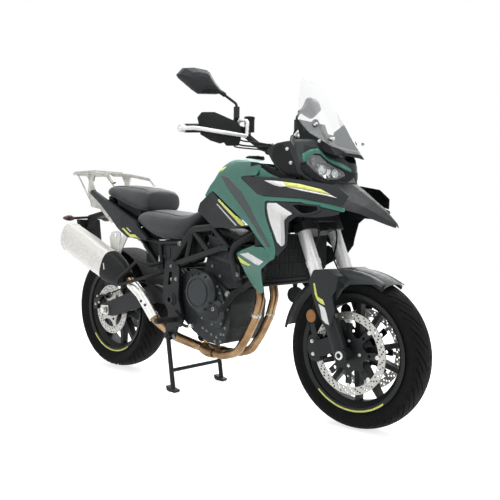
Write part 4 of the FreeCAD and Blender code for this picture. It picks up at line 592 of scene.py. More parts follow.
class Kit:
    """Many small parts of one look on one body, kept as one piece."""

    def __init__(self, name, look, body="chassis", smooth=32.0):
        self.name, self.look, self.body, self.smooth = name, look, body, smooth
        self.bm = bmesh.new()

    def point(self, x, y, z):
        return self.bm.verts.new(place(x, y, z))

    def add(self, profile, spot, axis, turns):
        """A turned part: profile is (radius, height) pairs in millimetres, from its foot up."""
        turn = Vector(UP).rotation_difference(Vector(axis).normalized()).to_matrix()
        rings = []
        for radius, height in profile:
            if radius <= 0:
                local = Vector((0, 0, height / 1000))
                rings.append([self.bm.verts.new(place(*spot) + turn @ local)] * turns)
                continue
            rings.append([])
            for angle in fractions(turns):
                local = Vector((radius * math.cos(angle), radius * math.sin(angle), height)) / 1000
                rings[-1].append(self.bm.verts.new(place(*spot) + turn @ local))
        for low, high in zip(rings, rings[1:]):
            for k in range(turns):
                n = (k + 1) % turns
                corners = list(dict.fromkeys((low[k], low[n], high[n], high[k])))
                if len(corners) > 2:
                    self.bm.faces.new(corners)

    def bolt(self, spot, axis, r):
        """A flanged screw with a six-sided socket."""
        self.add([(r * 1.25, -1.0), (r * 1.25, 0.6), (r, 0.8), (r, r * 0.75), (r * 0.86, r * 0.95),
                  (r * 0.5, r * 0.95)], spot, axis, 14)
        self.add([(r * 0.52, r * 0.95), (r * 0.5, r * 0.35), (0, r * 0.35)], spot, axis, 6)

    def nut(self, spot, axis, r):
        self.add([(r * 1.25, -1.0), (r * 1.25, 1.0), (r * 1.02, 1.2)], spot, axis, 18)
        self.add([(r, 0.5), (r, r * 0.7), (r * 0.85, r * 0.85), (0, r * 0.85)], spot, axis, 6)

    def tube(self, points, diameter, turns=8):
        """A round rod along a smooth line through the points."""
        line = smooth_line([place(*p) for p in points])
        rings = []
        normal = None
        for i, spot in enumerate(line):
            ahead = (line[min(i + 1, len(line) - 1)] - line[max(i - 1, 0)]).normalized()
            if normal is None:
                normal = ahead.orthogonal().normalized()
            normal = (normal - ahead * normal.dot(ahead)).normalized()
            side = ahead.cross(normal)
            arms = [normal * math.cos(a) + side * math.sin(a) for a in fractions(turns)]
            rings.append([self.bm.verts.new(spot + arm * diameter / 2000) for arm in arms])
        join_rows(self.bm, rings, True)
        self.bm.faces.new(list(reversed(rings[0])))
        self.bm.faces.new(rings[-1])

    def slab(self, spots, faces, border, y0, y1):
        """A slab between two y stations, over (x, z) spots."""
        low = [self.point(x, y0, z) for x, z in spots]
        high = [self.point(x, y1, z) for x, z in spots]
        for f in faces:
            self.bm.faces.new([low[i] for i in f])
            self.bm.faces.new([high[i] for i in reversed(f)])
        for a, b in border:
            self.bm.faces.new((low[b], low[a], high[a], high[b]))

    def plate(self, outline, y0, y1, radius=0.0, holes=()):
        """A flat plate seen from the side, between two y stations."""
        loop = rounded(outline, radius) if radius else [Vector(p) for p in outline]
        self.slab(*cut_out([loop, *holes]), *sorted((y0, y1)))

    def plates(self, outline, inner, outer, radius=0.0):
        """The same plate on each side."""
        for side in SIDES:
            self.plate(outline, side * inner, side * outer, radius)

    def drilled_ring(self, axle, y0, y1, r_in, r_out, holes, sectors):
        """Flat ring from equal sectors; holes are (radius, share of the sector, hole radius)."""
        wedge = 2 * math.pi / sectors
        hub = (0, 0, 0)
        outline = [Vector(around(hub, r_out, wedge * k / 8)) for k in range(9)]
        outline += [Vector(around(hub, r_in, wedge * k / 8)) for k in range(8, -1, -1)]
        points, faces, border = cut_out([outline] + [
            ring_points(around(hub, r, wedge * share), size, 10) for r, share, size in holes])
        rims = []
        for a, b in border:
            p, q = points[a], points[b]
            if abs(math.atan2(p.y, p.x) - math.atan2(q.y, q.x)) >= 1e-6 or abs(p.length - q.length) <= 8:
                rims.append((a, b))
        for s in range(sectors):
            c, d = math.cos(wedge * s), math.sin(wedge * s)
            spots = [(axle[0] + p.x * c - p.y * d, axle[2] + p.x * d + p.y * c) for p in points]
            self.slab(spots, faces, rims, y0, y1)

    def done(self):
        drop_loose(self.bm)
        return piece(self.name, self.bm, self.look, self.body, self.smooth)


def hardware(name, look, body="chassis", turned=(), bolts=(), nuts=()):
    """A kit of turned parts (profile, spot, axis, turns), and bolts and nuts (spot, axis, radius)."""
    kit = Kit(name, look, body)
    for part in turned:
        kit.add(*part)
    for part in bolts:
        kit.bolt(*part)
    for part in nuts:
        kit.nut(*part)
    return kit.done()


def panels(name, look, outline, inner, outer, radius):
    """One piece with the same plate on each side, between two distances from the middle."""
    kit = Kit(name, look)
    kit.plates(outline, inner, outer, radius)
    kit.done()


def smooth_line(points, parts=6):
    """A smooth line that passes through all the points."""
    ends = [points[0] * 2 - points[1]] + points + [points[-1] * 2 - points[-2]]
    out = []
    for a, b, c, d in zip(ends, ends[1:], ends[2:], ends[3:]):
        for t in (k / parts for k in range(parts)):
            out.append(0.5 * (2 * b + (c - a) * t + (2 * a - 5 * b + 4 * c - d) * t * t
                              + (3 * b - a - 3 * c + d) * t ** 3))
    out.append(points[-1])
    return out


def ring_points(centre, radius, count):
    """Circle seen from the side, as (x, z) points."""
    return [Vector(around((centre[0], 0, centre[1]), radius, t)) for t in fractions(count)]


def repaint(node, look, chosen):
    """Another look for those faces of a CAD node that are chosen."""
    data = NODES[node].data
    data.materials.append(look)
    for polygon in data.polygons:
        if chosen(polygon):
            polygon.material_index = len(data.materials) - 1


def tint(node, look, test):
    """Another look for the faces whose middle passes the test, in millimetres."""
    repaint(node, look, lambda polygon: test(*millimetres(polygon.center)))


def islands(data):
    """Sets of face numbers that hang together, by shared points."""
    owner = list(range(len(data.vertices)))

    def root(i):
        while owner[i] != i:
            owner[i] = owner[owner[i]]
            i = owner[i]
        return i
    places = {}
    for v in data.vertices:
        key = tuple(round(c * 20000) for c in v.co)
        owner[root(v.index)] = root(places.setdefault(key, v.index))
    for polygon in data.polygons:
        first = root(polygon.vertices[0])
        for i in polygon.vertices[1:]:
            owner[root(i)] = first
    groups = {}
    for polygon in data.polygons:
        groups.setdefault(root(polygon.vertices[0]), []).append(polygon.index)
    return list(groups.values())


# Paint and tape, and painted shade on the side panels, as outlines of (x, z)
FINE = {"radius": 1.0}
DECALS = (
    ("strakes", (
        ("strake_white", WHITE, {}, [(1184, 965), (1218, 964), (1282, 957), (1308, 937), (1281, 937),
                                     (1254, 942), (1224, 951)]),
        ("strake_yellow", YELLOW, {}, [(1282, 957), (1364, 945), (1443, 925), (1482, 906), (1446, 912),
                                       (1369, 928), (1308, 937)]),
        ("strake_tip", WHITE, {"radius": 1.0, "lift": 0.7}, [
            (1309, 935), (1370, 926), (1447, 910), (1483, 903), (1508, 891), (1456, 903), (1372, 920)]))),
    ("side_panels", (
        # wing_shade is painted shade: a dark band where the side panel's crease lies in shadow.
        ("wing_shade", SHADE, {}, [(881, 1004), (933, 996), (1038, 932), (1122, 856), (1204, 761),
                                   (1246, 703), (1229, 702), (1158, 776), (1087, 840), (1018, 891),
                                   (933, 953)]),
        ("lower_white", WHITE, {}, [(1041, 666), (1102, 675), (1210, 644), (1177, 626), (1152, 631)]),
        ("lower_yellow", YELLOW, FINE, [(1017, 657), (1040, 653), (1076, 639), (1124, 625), (1102, 620),
                                        (1044, 631), (1023, 640)]))),
    ("knee_panels", (
        ("knee_yellow", YELLOW, FINE, [(881, 892), (1012, 812), (1041, 791), (1063, 783), (1095, 784),
                                       (1063, 812), (1042, 824), (1020, 824), (890, 898)]),
        ("knee_white", PALE, FINE, [(871, 877), (882, 877), (1026, 787), (1019, 782)]))),
    ("fuel_tank", (
        ("tank_yellow", YELLOW, {"radius": 1.0, "lift": 0.8, "step": 5.0}, [
            (848, 1021), (859, 1033), (894, 1040), (898, 1035), (880, 1024)]),)),
    ("winglets", (
        ("winglet_edge", PALE, FINE, [(1311, 831), (1340, 826), (1324, 808), (1318, 716), (1306, 708),
                                      (1305, 728)]),)),
    ("tail_panels", (
        ("tail_yellow", YELLOW, FINE, [(190, 761), (204, 764), (254, 731), (286, 733), (330, 706),
                                       (297, 707), (256, 717)]),
        ("tail_pale", PALE, FINE, [(223, 766), (233, 766), (262, 746), (254, 743)]))),
    ("frame", (
        ("tail_line", SILVER, FINE, [(284, 699), (293, 703), (321, 672), (350, 640), (342, 636),
                                     (313, 663)]),)),
    ("front_fender", (
        ("guard_yellow", YELLOW, {"radius": 1.0, "body": "steering"}, [
            (1384, 566), (1391, 567), (1405, 516), (1431, 505), (1441, 486), (1422, 490), (1403, 502),
            (1392, 524)]),
        ("guard_tag", WHITE, {"radius": 1.0, "body": "steering"}, [
            (1410, 488), (1440, 476), (1450, 449), (1462, 412), (1445, 416), (1427, 431), (1419, 465)]))),
    ("nose_cowl", (
        ("cowl_cheek", BLACK, {"radius": 5.0, "lift": 1.2, "thick": 1.2}, [
            (1190, 1058), (1194, 1096), (1213, 1110), (1242, 1114), (1276, 1082), (1304, 1030), (1322, 968),
            (1279, 980), (1243, 998), (1206, 1036)]),)),
)


def make_graphics():
    for node in ("side_panels", "strakes", "fuel_tank", "winglets"):
        repaint(node, BLACK, lambda polygon: polygon.normal.y * (1 if polygon.center.y > 0 else -1) < -0.2)
    for node, rows in DECALS:
        tree = surface_of(node)
        for name, look, options, outline in rows:
            decal(name, outline, tree, look, **options)


make_graphics()


# Nose, with outlines of (y, z)
NOSE_FRONT, NOSE_HALF, NOSE_SWEEP = 1468, 150, 104
LEANS = ((900, 6), (960, 2), (1020, 0), (1080, -14), (1140, -40))
BROW = [(159, 1036), (156, 1064), (141, 1082), (122, 1087), (85, 1053), (41, 1024), (16, 1009), (18, 998),
        (44, 1007), (87, 1033), (120, 1064), (135, 1067), (144, 1056), (150, 1034)]
BEZEL = [(0, 998), (18, 996), (44, 1005), (88, 1034), (121, 1065), (140, 1069), (154, 1054), (158, 1030),
         (160, 1010), (157, 987), (143, 961), (110, 946), (63, 944), (22, 964), (0, 980)]
LAMP_EDGE = [(150, 1052), (140, 1062), (123, 1058), (90, 1027), (47, 998), (42, 984), (69, 968), (101, 967),
             (129, 978), (143, 1003), (151, 1028)]
LAMP_BACK = [(142, 1048), (124, 1051), (92, 1021), (52, 994), (50, 985), (70, 973), (100, 972), (126, 983),
             (138, 1006)]
BOWLS = ((74, 990, 1426, 17), (112, 1003, 1392, 19), (134, 1036, 1366, 12))
LIGHT_STRIP = ((1410, 60, 994), (1390, 92, 1018), (1366, 118, 1044), (1352, 134, 1050))


def nose_x(y, z):
    """Station of the nose's face, which leans back as it rises and to its sides."""
    lean = LEANS[-1][1]
    for (z0, l0), (z1, l1) in zip(LEANS, LEANS[1:]):
        if z0 <= z <= z1:
            lean = l0 + (l1 - l0) * (z - z0) / (z1 - z0)
    sweep = NOSE_SWEEP * (abs(y) / NOSE_HALF) ** 1.7
    return NOSE_FRONT + lean - sweep - max(0, z - 980) * abs(y) / NOSE_HALF * 0.18


def cowl_corner(side):
    """The corner between the lamp's brow and the cowl's cheek."""
    bm = bmesh.new()
    columns = [(y, None) for y in (100, 112, 124, 136, 148, 156, 160)] + [(160, 1296)]
    rows = [[bm.verts.new(place(x or nose_x(y, z) - 1, side * y, z)) for y, x in columns]
            for z in range(1030, 1127, 12)]
    join_rows(bm, rows)
    return sheet("cowl_corner_" + TAGS[side], bm, GREY, "chassis", 50, 0, 1, 2.0)


def make_nose():
    corners = [cowl_corner(side).data for side in SIDES]
    face = tree_of([NODES["nose_cowl"].data, NODES["headlamp"].data] + corners)
    for side in SIDES:
        film("brow", side, BROW, face, GREEN, 1.0, thick=1.2)
        film("bezel", side, BEZEL, face, BLACK, 0.6, holes=[LAMP_EDGE])
        film("reflector", side, LAMP_BACK, face, CHROME, -20.0, step=13.0, ripple=3.0, smooth=1.0)
        bowls = Kit("lamp_bowls_" + TAGS[side], CHROME)
        lenses = Kit("lamp_lenses_" + TAGS[side], LENS)
        rings = Kit("lamp_rings_" + TAGS[side], GREY)
        axis = (0.92, side * 0.36, 0)
        for y, z, x, r in BOWLS:
            spot = (x, side * y, z)
            bowls.add([(r, 0), (r, 6), (r - 1.5, 6), (r * 0.75, -4), (r * 0.3, -9), (0, -9)],
                      spot, axis, 28)
            lenses.add([(r * 0.8, 2), (r * 0.7, 6), (r * 0.4, 9), (0, 10)], spot, axis, 24)
            rings.add([(r, 5), (r + 2.5, 5.5), (r + 2.5, 8), (r, 8)], spot, axis, 28)
        bowls.tube([(x, side * y, z) for x, y, z in LIGHT_STRIP], 5, 12)
        for made in (bowls, lenses, rings):
            made.done()
    bolts = Kit("nose_bolts", SILVER)
    cheek = surface_of("nose_cowl")
    for side in SIDES:
        for x, z in ((1264, 1089), (1286, 1033)):
            spot, normal = across(cheek, side, x, z)
            bolts.bolt((x, spot.y * 1000 + side * 1.2, z), normal if normal.y * side > 0 else -normal, 5.5)
        for x, z in ((1359, 1185), (1375, 1118), (1441, 1121)):
            bolts.bolt((x, side * 104, z), outwards(side), 5.5)
    bolts.done()


def make_shoulders():
    """The side panels' fronts under the cowl, and the dark walls behind them."""
    panels("shoulder_panels", GREEN, [
        (1096, 1033), (1140, 1020), (1173, 999), (1215, 982), (1254, 968), (1264, 956), (1180, 960),
        (1104, 968)], 168, 171, 6)
    panels("shoulder_walls", BLACK, [
        (1064, 1050), (1100, 1046), (1150, 1032), (1200, 1012), (1262, 988), (1300, 976), (1300, 950),
        (1064, 960)], 153, 156, 8)
    panels("vent_backs", BLACK, [(1340, 816), (1462, 826), (1462, 872), (1340, 872)], 158, 162, 4)


make_nose()
make_shoulders()


# Dash and screen
def make_dash():
    glass = Kit("display_glass", GLASS_DARK)
    low, high = Vector((1268, 0, 1128)), Vector((1248, 0, 1212))
    back = Vector((-0.973, 0, -0.232)) * 0.8
    foot = low * 0.9 + high * 0.1 + back
    head = low * 0.1 + high * 0.9 + back
    corners = ((foot, -76), (foot, 76), (head, 76), (head, -76))
    glass.bm.faces.new([glass.point(p.x, y, p.z) for p, y in corners])
    glass.done()
    rim = Kit("display_rim", GREY)
    loop = [Vector((p.x, y, p.z))
            for p, y in ((foot, -80), (foot, 80), (head, 80), (head, -80), (foot, -80))]
    for p, q in zip(loop, loop[1:]):
        rim.tube([p, (p + q) / 2, q], 5)
    rim.done()
    screws = Kit("screen_bolts", SILVER)
    washers = Kit("screen_washers", RUBBER)
    screen = surface_of("windscreen")
    for y, z in ((-88, 1124), (-112, 1180), (88, 1124), (112, 1180)):
        spot, normal, _, _ = screen.ray_cast(place(1800, y, z), Vector((-1, 0, 0)), 1.0)
        if spot:
            where = (millimetres(spot)[0], y, z)
            washers.add([(9, -0.5), (9, 2), (7, 3), (0, 3)], where, normal, 20)
            screws.bolt(tuple(c + n * 3 for c, n in zip(where, normal)), normal, 4.5)
    screws.done()
    washers.done()


make_dash()


# Wheels
TREAD = ((0.0, 0), (0.02, 1), (0.10, 1), (0.12, 0), (0.22, 0), (0.33, 0), (0.44, 0), (0.53, 0), (0.55, 2),
         (0.61, 2), (0.63, 0), (0.75, 0), (0.87, 0))
PITCHES = 24
BEAD_SHARE = 0.72
LIP_RADIUS = 224
TAPE_RADII = (222.0, 228.5)
FRONT_TYRE = (300.0, 120.0)
REAR_TYRE = (312.0, 160.0)
FRONT_DISC_Y = 64
REAR_DISC = (-78.25, -73.75)
FRONT_HOLES = [(136, 0.12, 3.9), (144, 0.28, 3.9), (152, 0.44, 3.9), (138, 0.59, 3.9), (146, 0.75, 3.9),
               (153, 0.91, 3.9)]
REAR_HOLES = [(100, 0.12, 4.2), (110, 0.3, 4.2), (120, 0.5, 4.2), (103, 0.68, 4.2), (122, 0.87, 4.2)]
HUB_HOLE = (30, 24)


def tyre_section(radius, width):
    """Half section from the crown to the bead, as (radius, half width) with a soft line."""
    half = width / 2
    bead = half * BEAD_SHARE
    points = [(radius, 0), (radius * 0.9965, half * 0.25), (radius * 0.986, half * 0.5),
              (radius * 0.966, half * 0.76), (radius * 0.94, half * 0.93), (radius * 0.905, half),
              (radius * 0.86, half * 0.985), (238, bead + 3), (231, bead + 1.5), (222, bead)]
    return [(p.z, p.x) for p in smooth_line([Vector((y, 0, r)) for r, y in points], 3)]


def tread_drop(kind, share, r, radius):
    """Depth below the tyre's section: two kinds of groove, and a raised line on the wall."""
    if r < radius * 0.86:
        return -0.7 if radius * 0.80 < r < radius * 0.845 else 0.0
    if kind == 1 and 0.10 < share < 0.93 and r > radius * 0.925:
        return 5.5
    if kind == 2 and 0.48 < share < 0.99 and r > radius * 0.90:
        return 4.5
    return 0.0


def make_tyre(name, node, axle, size, body):
    radius, width = size
    half_section = tyre_section(radius, width)
    rows = [(r, -y) for r, y in reversed(half_section)] + half_section[1:]
    bm = bmesh.new()
    grid = []
    for r, y in rows:
        share = abs(y) / (width / 2)
        shift = 0.5 if y < 0 else 0.0
        ring = []
        for k in range(PITCHES):
            for along, kind in TREAD:
                turn = 2 * math.pi / PITCHES * (k + along + shift) + 0.34 * share ** 1.3
                reach = r - tread_drop(kind, share, r, radius)
                ring.append(bm.verts.new(place(*spoke(axle, reach, turn, y))))
        grid.append(ring)
    join_rows(bm, grid, True)
    lip_y = width * 0.36 - 8
    centre = place(*axle)
    for ring, side in ((grid[0], RIGHT), (grid[-1], LEFT)):
        lip = []
        for v in ring:
            turn = math.atan2(v.co.z - centre.z, v.co.x - centre.x)
            lip.append(bm.verts.new(place(*spoke(axle, LIP_RADIUS, turn, side * lip_y))))
        join_rows(bm, [ring, lip], True)
    bmesh.ops.recalc_face_normals(bm, faces=bm.faces)
    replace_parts(piece(name, bm, TYRE, body, 38), node)


def spider(axle, arms, corners):
    """Outline of a star of equal arms, each with corners (turn, radius)."""
    return [around(axle, r, arm + at) for arm in fractions(arms) for at, r in corners]


def make_discs():
    ring = Kit("front_disc_rings", GROUND, "front_wheel")
    carrier = Kit("front_disc_carriers", BLACK_METAL, "front_wheel")
    bolts = Kit("front_disc_bolts", SILVER, "front_wheel")
    hub = (FRONT_AXLE[0], FRONT_AXLE[2])
    star = spider(FRONT_AXLE, 8, ((-0.16, 76), (-0.11, 118), (0.11, 118), (0.16, 76), (0.39, 66)))
    openings = [ring_points(around(FRONT_AXLE, 90, t), 7, 10) for t in fractions(8)]
    for side in SIDES:
        y = side * FRONT_DISC_Y
        ring.drilled_ring(FRONT_AXLE, y - 2.25, y + 2.25, 130, 160, FRONT_HOLES, 16)
        carrier.plate(star, y - 2.6, y + 2.6, 2.0, openings + [ring_points(hub, *HUB_HOLE)])
        for k, turn in enumerate(fractions(8)):
            bolts.add([(8, 0), (8, 5.6), (6.5, 6.4), (4, 6.4), (3.5, 5.2), (0, 5.2)],
                      spoke(FRONT_AXLE, 124, turn, side * 61.2), outwards(side), 16)
            if k % 2 == 0:
                bolts.bolt(spoke(FRONT_AXLE, 48, turn, side * 66.2), outwards(side), 5)
    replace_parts(ring.done(), "front_discs")
    carrier.done()
    bolts.done()
    ring = Kit("rear_disc_ring", GROUND, "rear_wheel")
    ring.drilled_ring(REAR_AXLE, *REAR_DISC, 94, 130, REAR_HOLES, 14)
    star = spider(REAR_AXLE, 5, ((-0.2, 72), (-0.13, 98), (0.13, 98), (0.2, 72), (0.62, 58)))
    ring.plate(star, *REAR_DISC, 3.0, [ring_points((0, REAR_AXLE[2]), *HUB_HOLE)])
    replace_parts(ring.done(), "rear_disc")
    hardware("rear_disc_bolts", BLACK_METAL, "rear_wheel",
             bolts=[(spoke(REAR_AXLE, 54, t, -78.2), outwards(RIGHT), 5) for t in fractions(5)],
             nuts=[(spoke(REAR_AXLE, 58, t, 100), outwards(LEFT), 7) for t in fractions(5)])


def rim_tape(name, axle, width, body, low, high):
    """Tape arc on the flange's outer face, between two turns in degrees."""
    low, high = math.radians(low), math.radians(high)
    for side in SIDES:
        bm = bmesh.new()
        rows = []
        for r in TAPE_RADII:
            y = side * (width / 2 * BEAD_SHARE + 4 + (r - 213) / 18 * 4 + 0.5)
            arc = [spoke(axle, r, low + (high - low) * k / 60, y) for k in range(61)]
            rows.append([bm.verts.new(place(*spot)) for spot in arc])
        join_rows(bm, rows)
        sheet(name + "_" + TAGS[side], bm, YELLOW, body, 60, 1, side, 0.5)


def make_wheels():
    make_tyre("tyre_front", "front_tyre", FRONT_AXLE, FRONT_TYRE, "front_wheel")
    make_tyre("tyre_rear", "rear_tyre", REAR_AXLE, REAR_TYRE, "rear_wheel")
    make_discs()
    rim_tape("front_tape", FRONT_AXLE, FRONT_TYRE[1], "front_wheel", -132, -50)
    rim_tape("rear_tape", REAR_AXLE, REAR_TYRE[1], "rear_wheel", -138, -56)
    hardware("front_axle_ends", SILVER, "steering",
             [([(16.5, -2), (16.5, 5), (14, 7), (10, 7), (9, -2), (0, -2)],
               (1505, -130, 300), (0, -1, 0), 32)],
             nuts=[((1505, 129, 300), (0, 1, 0), 14)])
    ends = Kit("rear_axle_ends", SILVER)
    ends.nut((0, -128, 324), outwards(RIGHT), 15)
    ends.nut((0, 144, 324), outwards(LEFT), 15)
    for x, ahead in ((-52, -1), (30, 1)):
        ends.add([(6, 0), (6, 10), (4, 12), (0, 12)], (x, -104, 324), (ahead, 0, 0), 6)
    block = [(-38, 302), (-38, 346), (26, 350), (30, 336), (30, 308), (20, 298)]
    for y0, y1 in ((-116, -121), (132, 137)):
        ends.plate(block, y0, y1, 4.0, [ring_points((0, 324), 12.6, 20)])
    ends.done()
    marks = Kit("adjuster_lines", BLACK_METAL)
    for x in (-30, -20, 18):
        marks.plate([(x, 304), (x, 344), (x + 2, 344), (x + 2, 304)], -121.5, -120.8)
    marks.done()
    hardware("valves", BLACK_METAL, "front_wheel",
             [([(4, 0), (4, 18), (3, 20), (3, 30), (0, 30)], (1315, -10, 300), (1, 0, -0.2), 12)])


make_wheels()


# Seats
FRAMES = 20
MOST_PUFF = 0.0045
SHRINK = 0.004
VOXEL = 0.007
SEAM_HALF = 5.0
HELD_SHARE = 0.25
LOOKED_DOWN_ON = 0.55


def bake(obj):
    """Turn an object's modifiers into its mesh."""
    graph = bpy.context.evaluated_depsgraph_get()
    data = bpy.data.meshes.new_from_object(obj.evaluated_get(graph))
    obj.modifiers.clear()
    old = obj.data
    obj.data = data
    bpy.data.meshes.remove(old)


def puff_up(obj, seams):
    """Blow the cover out between its seams, which stay where they are, as a pressed cloth."""
    scene = bpy.context.scene
    rest = [v.co.copy() for v in obj.data.vertices]
    held = obj.vertex_groups.new(name="held")
    low = min(c.z for c in rest)
    span = max(c.z for c in rest) - low
    for i, c in enumerate(rest):
        x, y, z = millimetres(c)
        if min(seams(x, abs(y), z)) < SEAM_HALF or c.z < low + span * HELD_SHARE:
            held.add([i], 1.0, "REPLACE")
    cloth = obj.modifiers.new("cloth", "CLOTH")
    settings = cloth.settings
    settings.vertex_group_mass = "held"
    settings.use_pressure = True
    settings.uniform_pressure_force = 4.0
    settings.effector_weights.gravity = 0.0
    settings.quality = 4
    settings.tension_stiffness = 12
    settings.compression_stiffness = 12
    settings.bending_stiffness = 0.6
    cloth.point_cache.frame_start = 1
    cloth.point_cache.frame_end = FRAMES
    for number in range(1, FRAMES + 1):
        scene.frame_set(number)
    bake(obj)
    for v, start in zip(obj.data.vertices, rest):
        moved = v.co - start
        if moved.length > MOST_PUFF:
            v.co = start + moved.normalized() * MOST_PUFF
    scene.frame_set(1)


def pressed_seat(node, name, seams):
    """Foam cover made from the seat's solid: a little smaller, then blown out between its seams."""
    base = bpy.data.meshes.new(name)
    bm = bmesh.new()
    bm.from_mesh(NODES[node].data)
    bmesh.ops.remove_doubles(bm, verts=bm.verts, dist=0.0002)
    bmesh.ops.recalc_face_normals(bm, faces=bm.faces)
    bm.normal_update()
    for v in bm.verts:
        v.co -= v.normal * SHRINK
    bm.to_mesh(base)
    bm.free()
    obj = show(name, base)
    voxels = obj.modifiers.new("voxels", "REMESH")
    voxels.mode = "VOXEL"
    voxels.voxel_size = VOXEL
    bake(obj)
    puff_up(obj, seams)
    ease = obj.modifiers.new("ease", "SMOOTH")
    ease.factor = 0.5
    ease.iterations = 3
    fine = obj.modifiers.new("fine", "SUBSURF")
    fine.levels = 1
    fine.render_levels = 1
    bake(obj)
    obj.data.materials.clear()
    obj.data.materials.append(SEAT)
    obj.data.materials.append(SEAT_SIDE_PAINTED_SHADE)
    # Faces that look up take the lighter leather and the rest take the darker one: painted light on the
    # top, painted shade on the sides.
    for polygon in obj.data.polygons:
        polygon.use_smooth = True
        polygon.material_index = 0 if polygon.normal.z > LOOKED_DOWN_ON else 1
    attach(obj, "chassis")
    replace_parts(obj, node)
    return obj


def stitch_line(kit, tree, points, diameter):
    """A seam cord along a line dropped onto a surface."""
    line = []
    for p in points:
        spot, normal, _, _ = tree.ray_cast(place(*p), Vector(DOWN), 0.6)
        if spot is None:
            spot, normal, _, _ = tree.find_nearest(place(*p))
        line.append(millimetres(spot + normal * 0.2 / 1000))
    kit.tube(line, diameter)


def rider_lane(x):
    """How far from the middle the rider seat's long seams run."""
    return 112 if x < 560 else 112 - (x - 560) * 0.3


def pillion_lane(x):
    return 92 if 40 < x else 74 + x * 0.4


def rider_seams(x, y, z):
    return (abs(y - rider_lane(x)) + max(0.0, 800 - z), abs(x - 640) + max(0.0, y - 60))


def pillion_seams(x, y, z):
    return (abs(y - 92) + max(0.0, 930 - z), abs(x - 250) + max(0.0, y - 80))


def make_seats():
    rider = pressed_seat("rider_seat", "rider_cushion", rider_seams)
    pillion = pressed_seat("pillion_seat", "pillion_cushion", pillion_seams)
    kit = Kit("seat_seams", RUBBER, smooth=180)
    for obj, xs, lane, cross, reach in ((rider, range(290, 701, 20), rider_lane, 640, 60),
                                        (pillion, range(0, 331, 20), pillion_lane, 250, 84)):
        tree = tree_of([obj.data])
        for side in SIDES:
            for inset, diameter in ((0.0, 2.4), (7.0, 1.4)):
                stitch_line(kit, tree, [(x, side * (lane(x) - inset), 1100) for x in xs], diameter)
        stitch_line(kit, tree, [(cross, y, 1100) for y in range(-reach, reach + 1, 12)], 2.0)
    kit.done()


make_seats()


# Engine and exhaust hardware; bolts are (x, y, z, radius)
RIGHT_BOLTS = (
    (774, -112, 699, 6), (563, -150, 589, 6), (800, -110, 600, 5), (849, -110, 558, 5),
    (786, -130, 552, 5), (852, -130, 512, 5), (868, -130, 484, 4.5), (892, -130, 440, 4.5),
    (889, -130, 396, 4.5), (876, -130, 352, 4.5), (822, -130, 342, 4.5), (757, -130, 362, 4.5),
    (702, -130, 440, 4.5), (694, -130, 500, 4.5), (738, -130, 562, 5), (983, -140, 575, 8),
    (777, -118, 305, 5), (808, -118, 292, 5), (840, -118, 284, 5), (867, -118, 300, 5),
    (752, -118, 316, 5), (892, -118, 330, 5), (905, -118, 414, 5), (720, -118, 560, 5),
    (623, -149, 697, 9), (884, -118, 300, 4.5), (830, -118, 264, 5), (864, -118, 268, 4.5))
LEFT_BOLTS = ((774, 112, 699), (832, 112, 690), (800, 110, 600), (849, 110, 558), (770, 110, 562),
              (860, 110, 640))
CLUTCH = (763, 0, 481)
GENERATOR = (806, 0, 430)
HEX_CAP = [(26, 0), (26, 9), (22, 13), (14, 13), (13, 6), (0, 6)]
HEADER_SIDES = (-48, 48)
HEADER_AXIS = (0.93, 0, -0.38)
CYLINDER_LEAN = math.radians(12)


def make_engine_bolts():
    bolts = Kit("engine_bolts", FASTENER)
    for x, y, z, r in RIGHT_BOLTS:
        bolts.bolt((x, y, z), outwards(RIGHT), r)
    for spot in LEFT_BOLTS:
        bolts.bolt(spot, outwards(LEFT), 5)
    for k in range(7):
        bolts.bolt(spoke(GENERATOR, 82, math.radians(20 + 320 * k / 7), 128), outwards(LEFT), 4.5)
    bolts.add([(15, -1), (15, 3), (12, 4), (11, 8), (8, 10), (0, 10)], (905, -118, 481),
              outwards(RIGHT), 24)
    bolts.add([(10, -1), (10, 2), (8.5, 4), (5, 4.5), (5, 1), (0, 1)], (851, -154, 414),
              outwards(RIGHT), 24)
    for y in HEADER_SIDES:
        bolts.nut((930, y - 24, 652), HEADER_AXIS, 5)
        bolts.nut((930, y + 24, 614), HEADER_AXIS, 5)
    for x, z in ((600, 530), (612, 358), (586, 260)):
        for side in SIDES:
            bolts.nut((x, side * 150, z), outwards(side), 8)
    bolts.done()


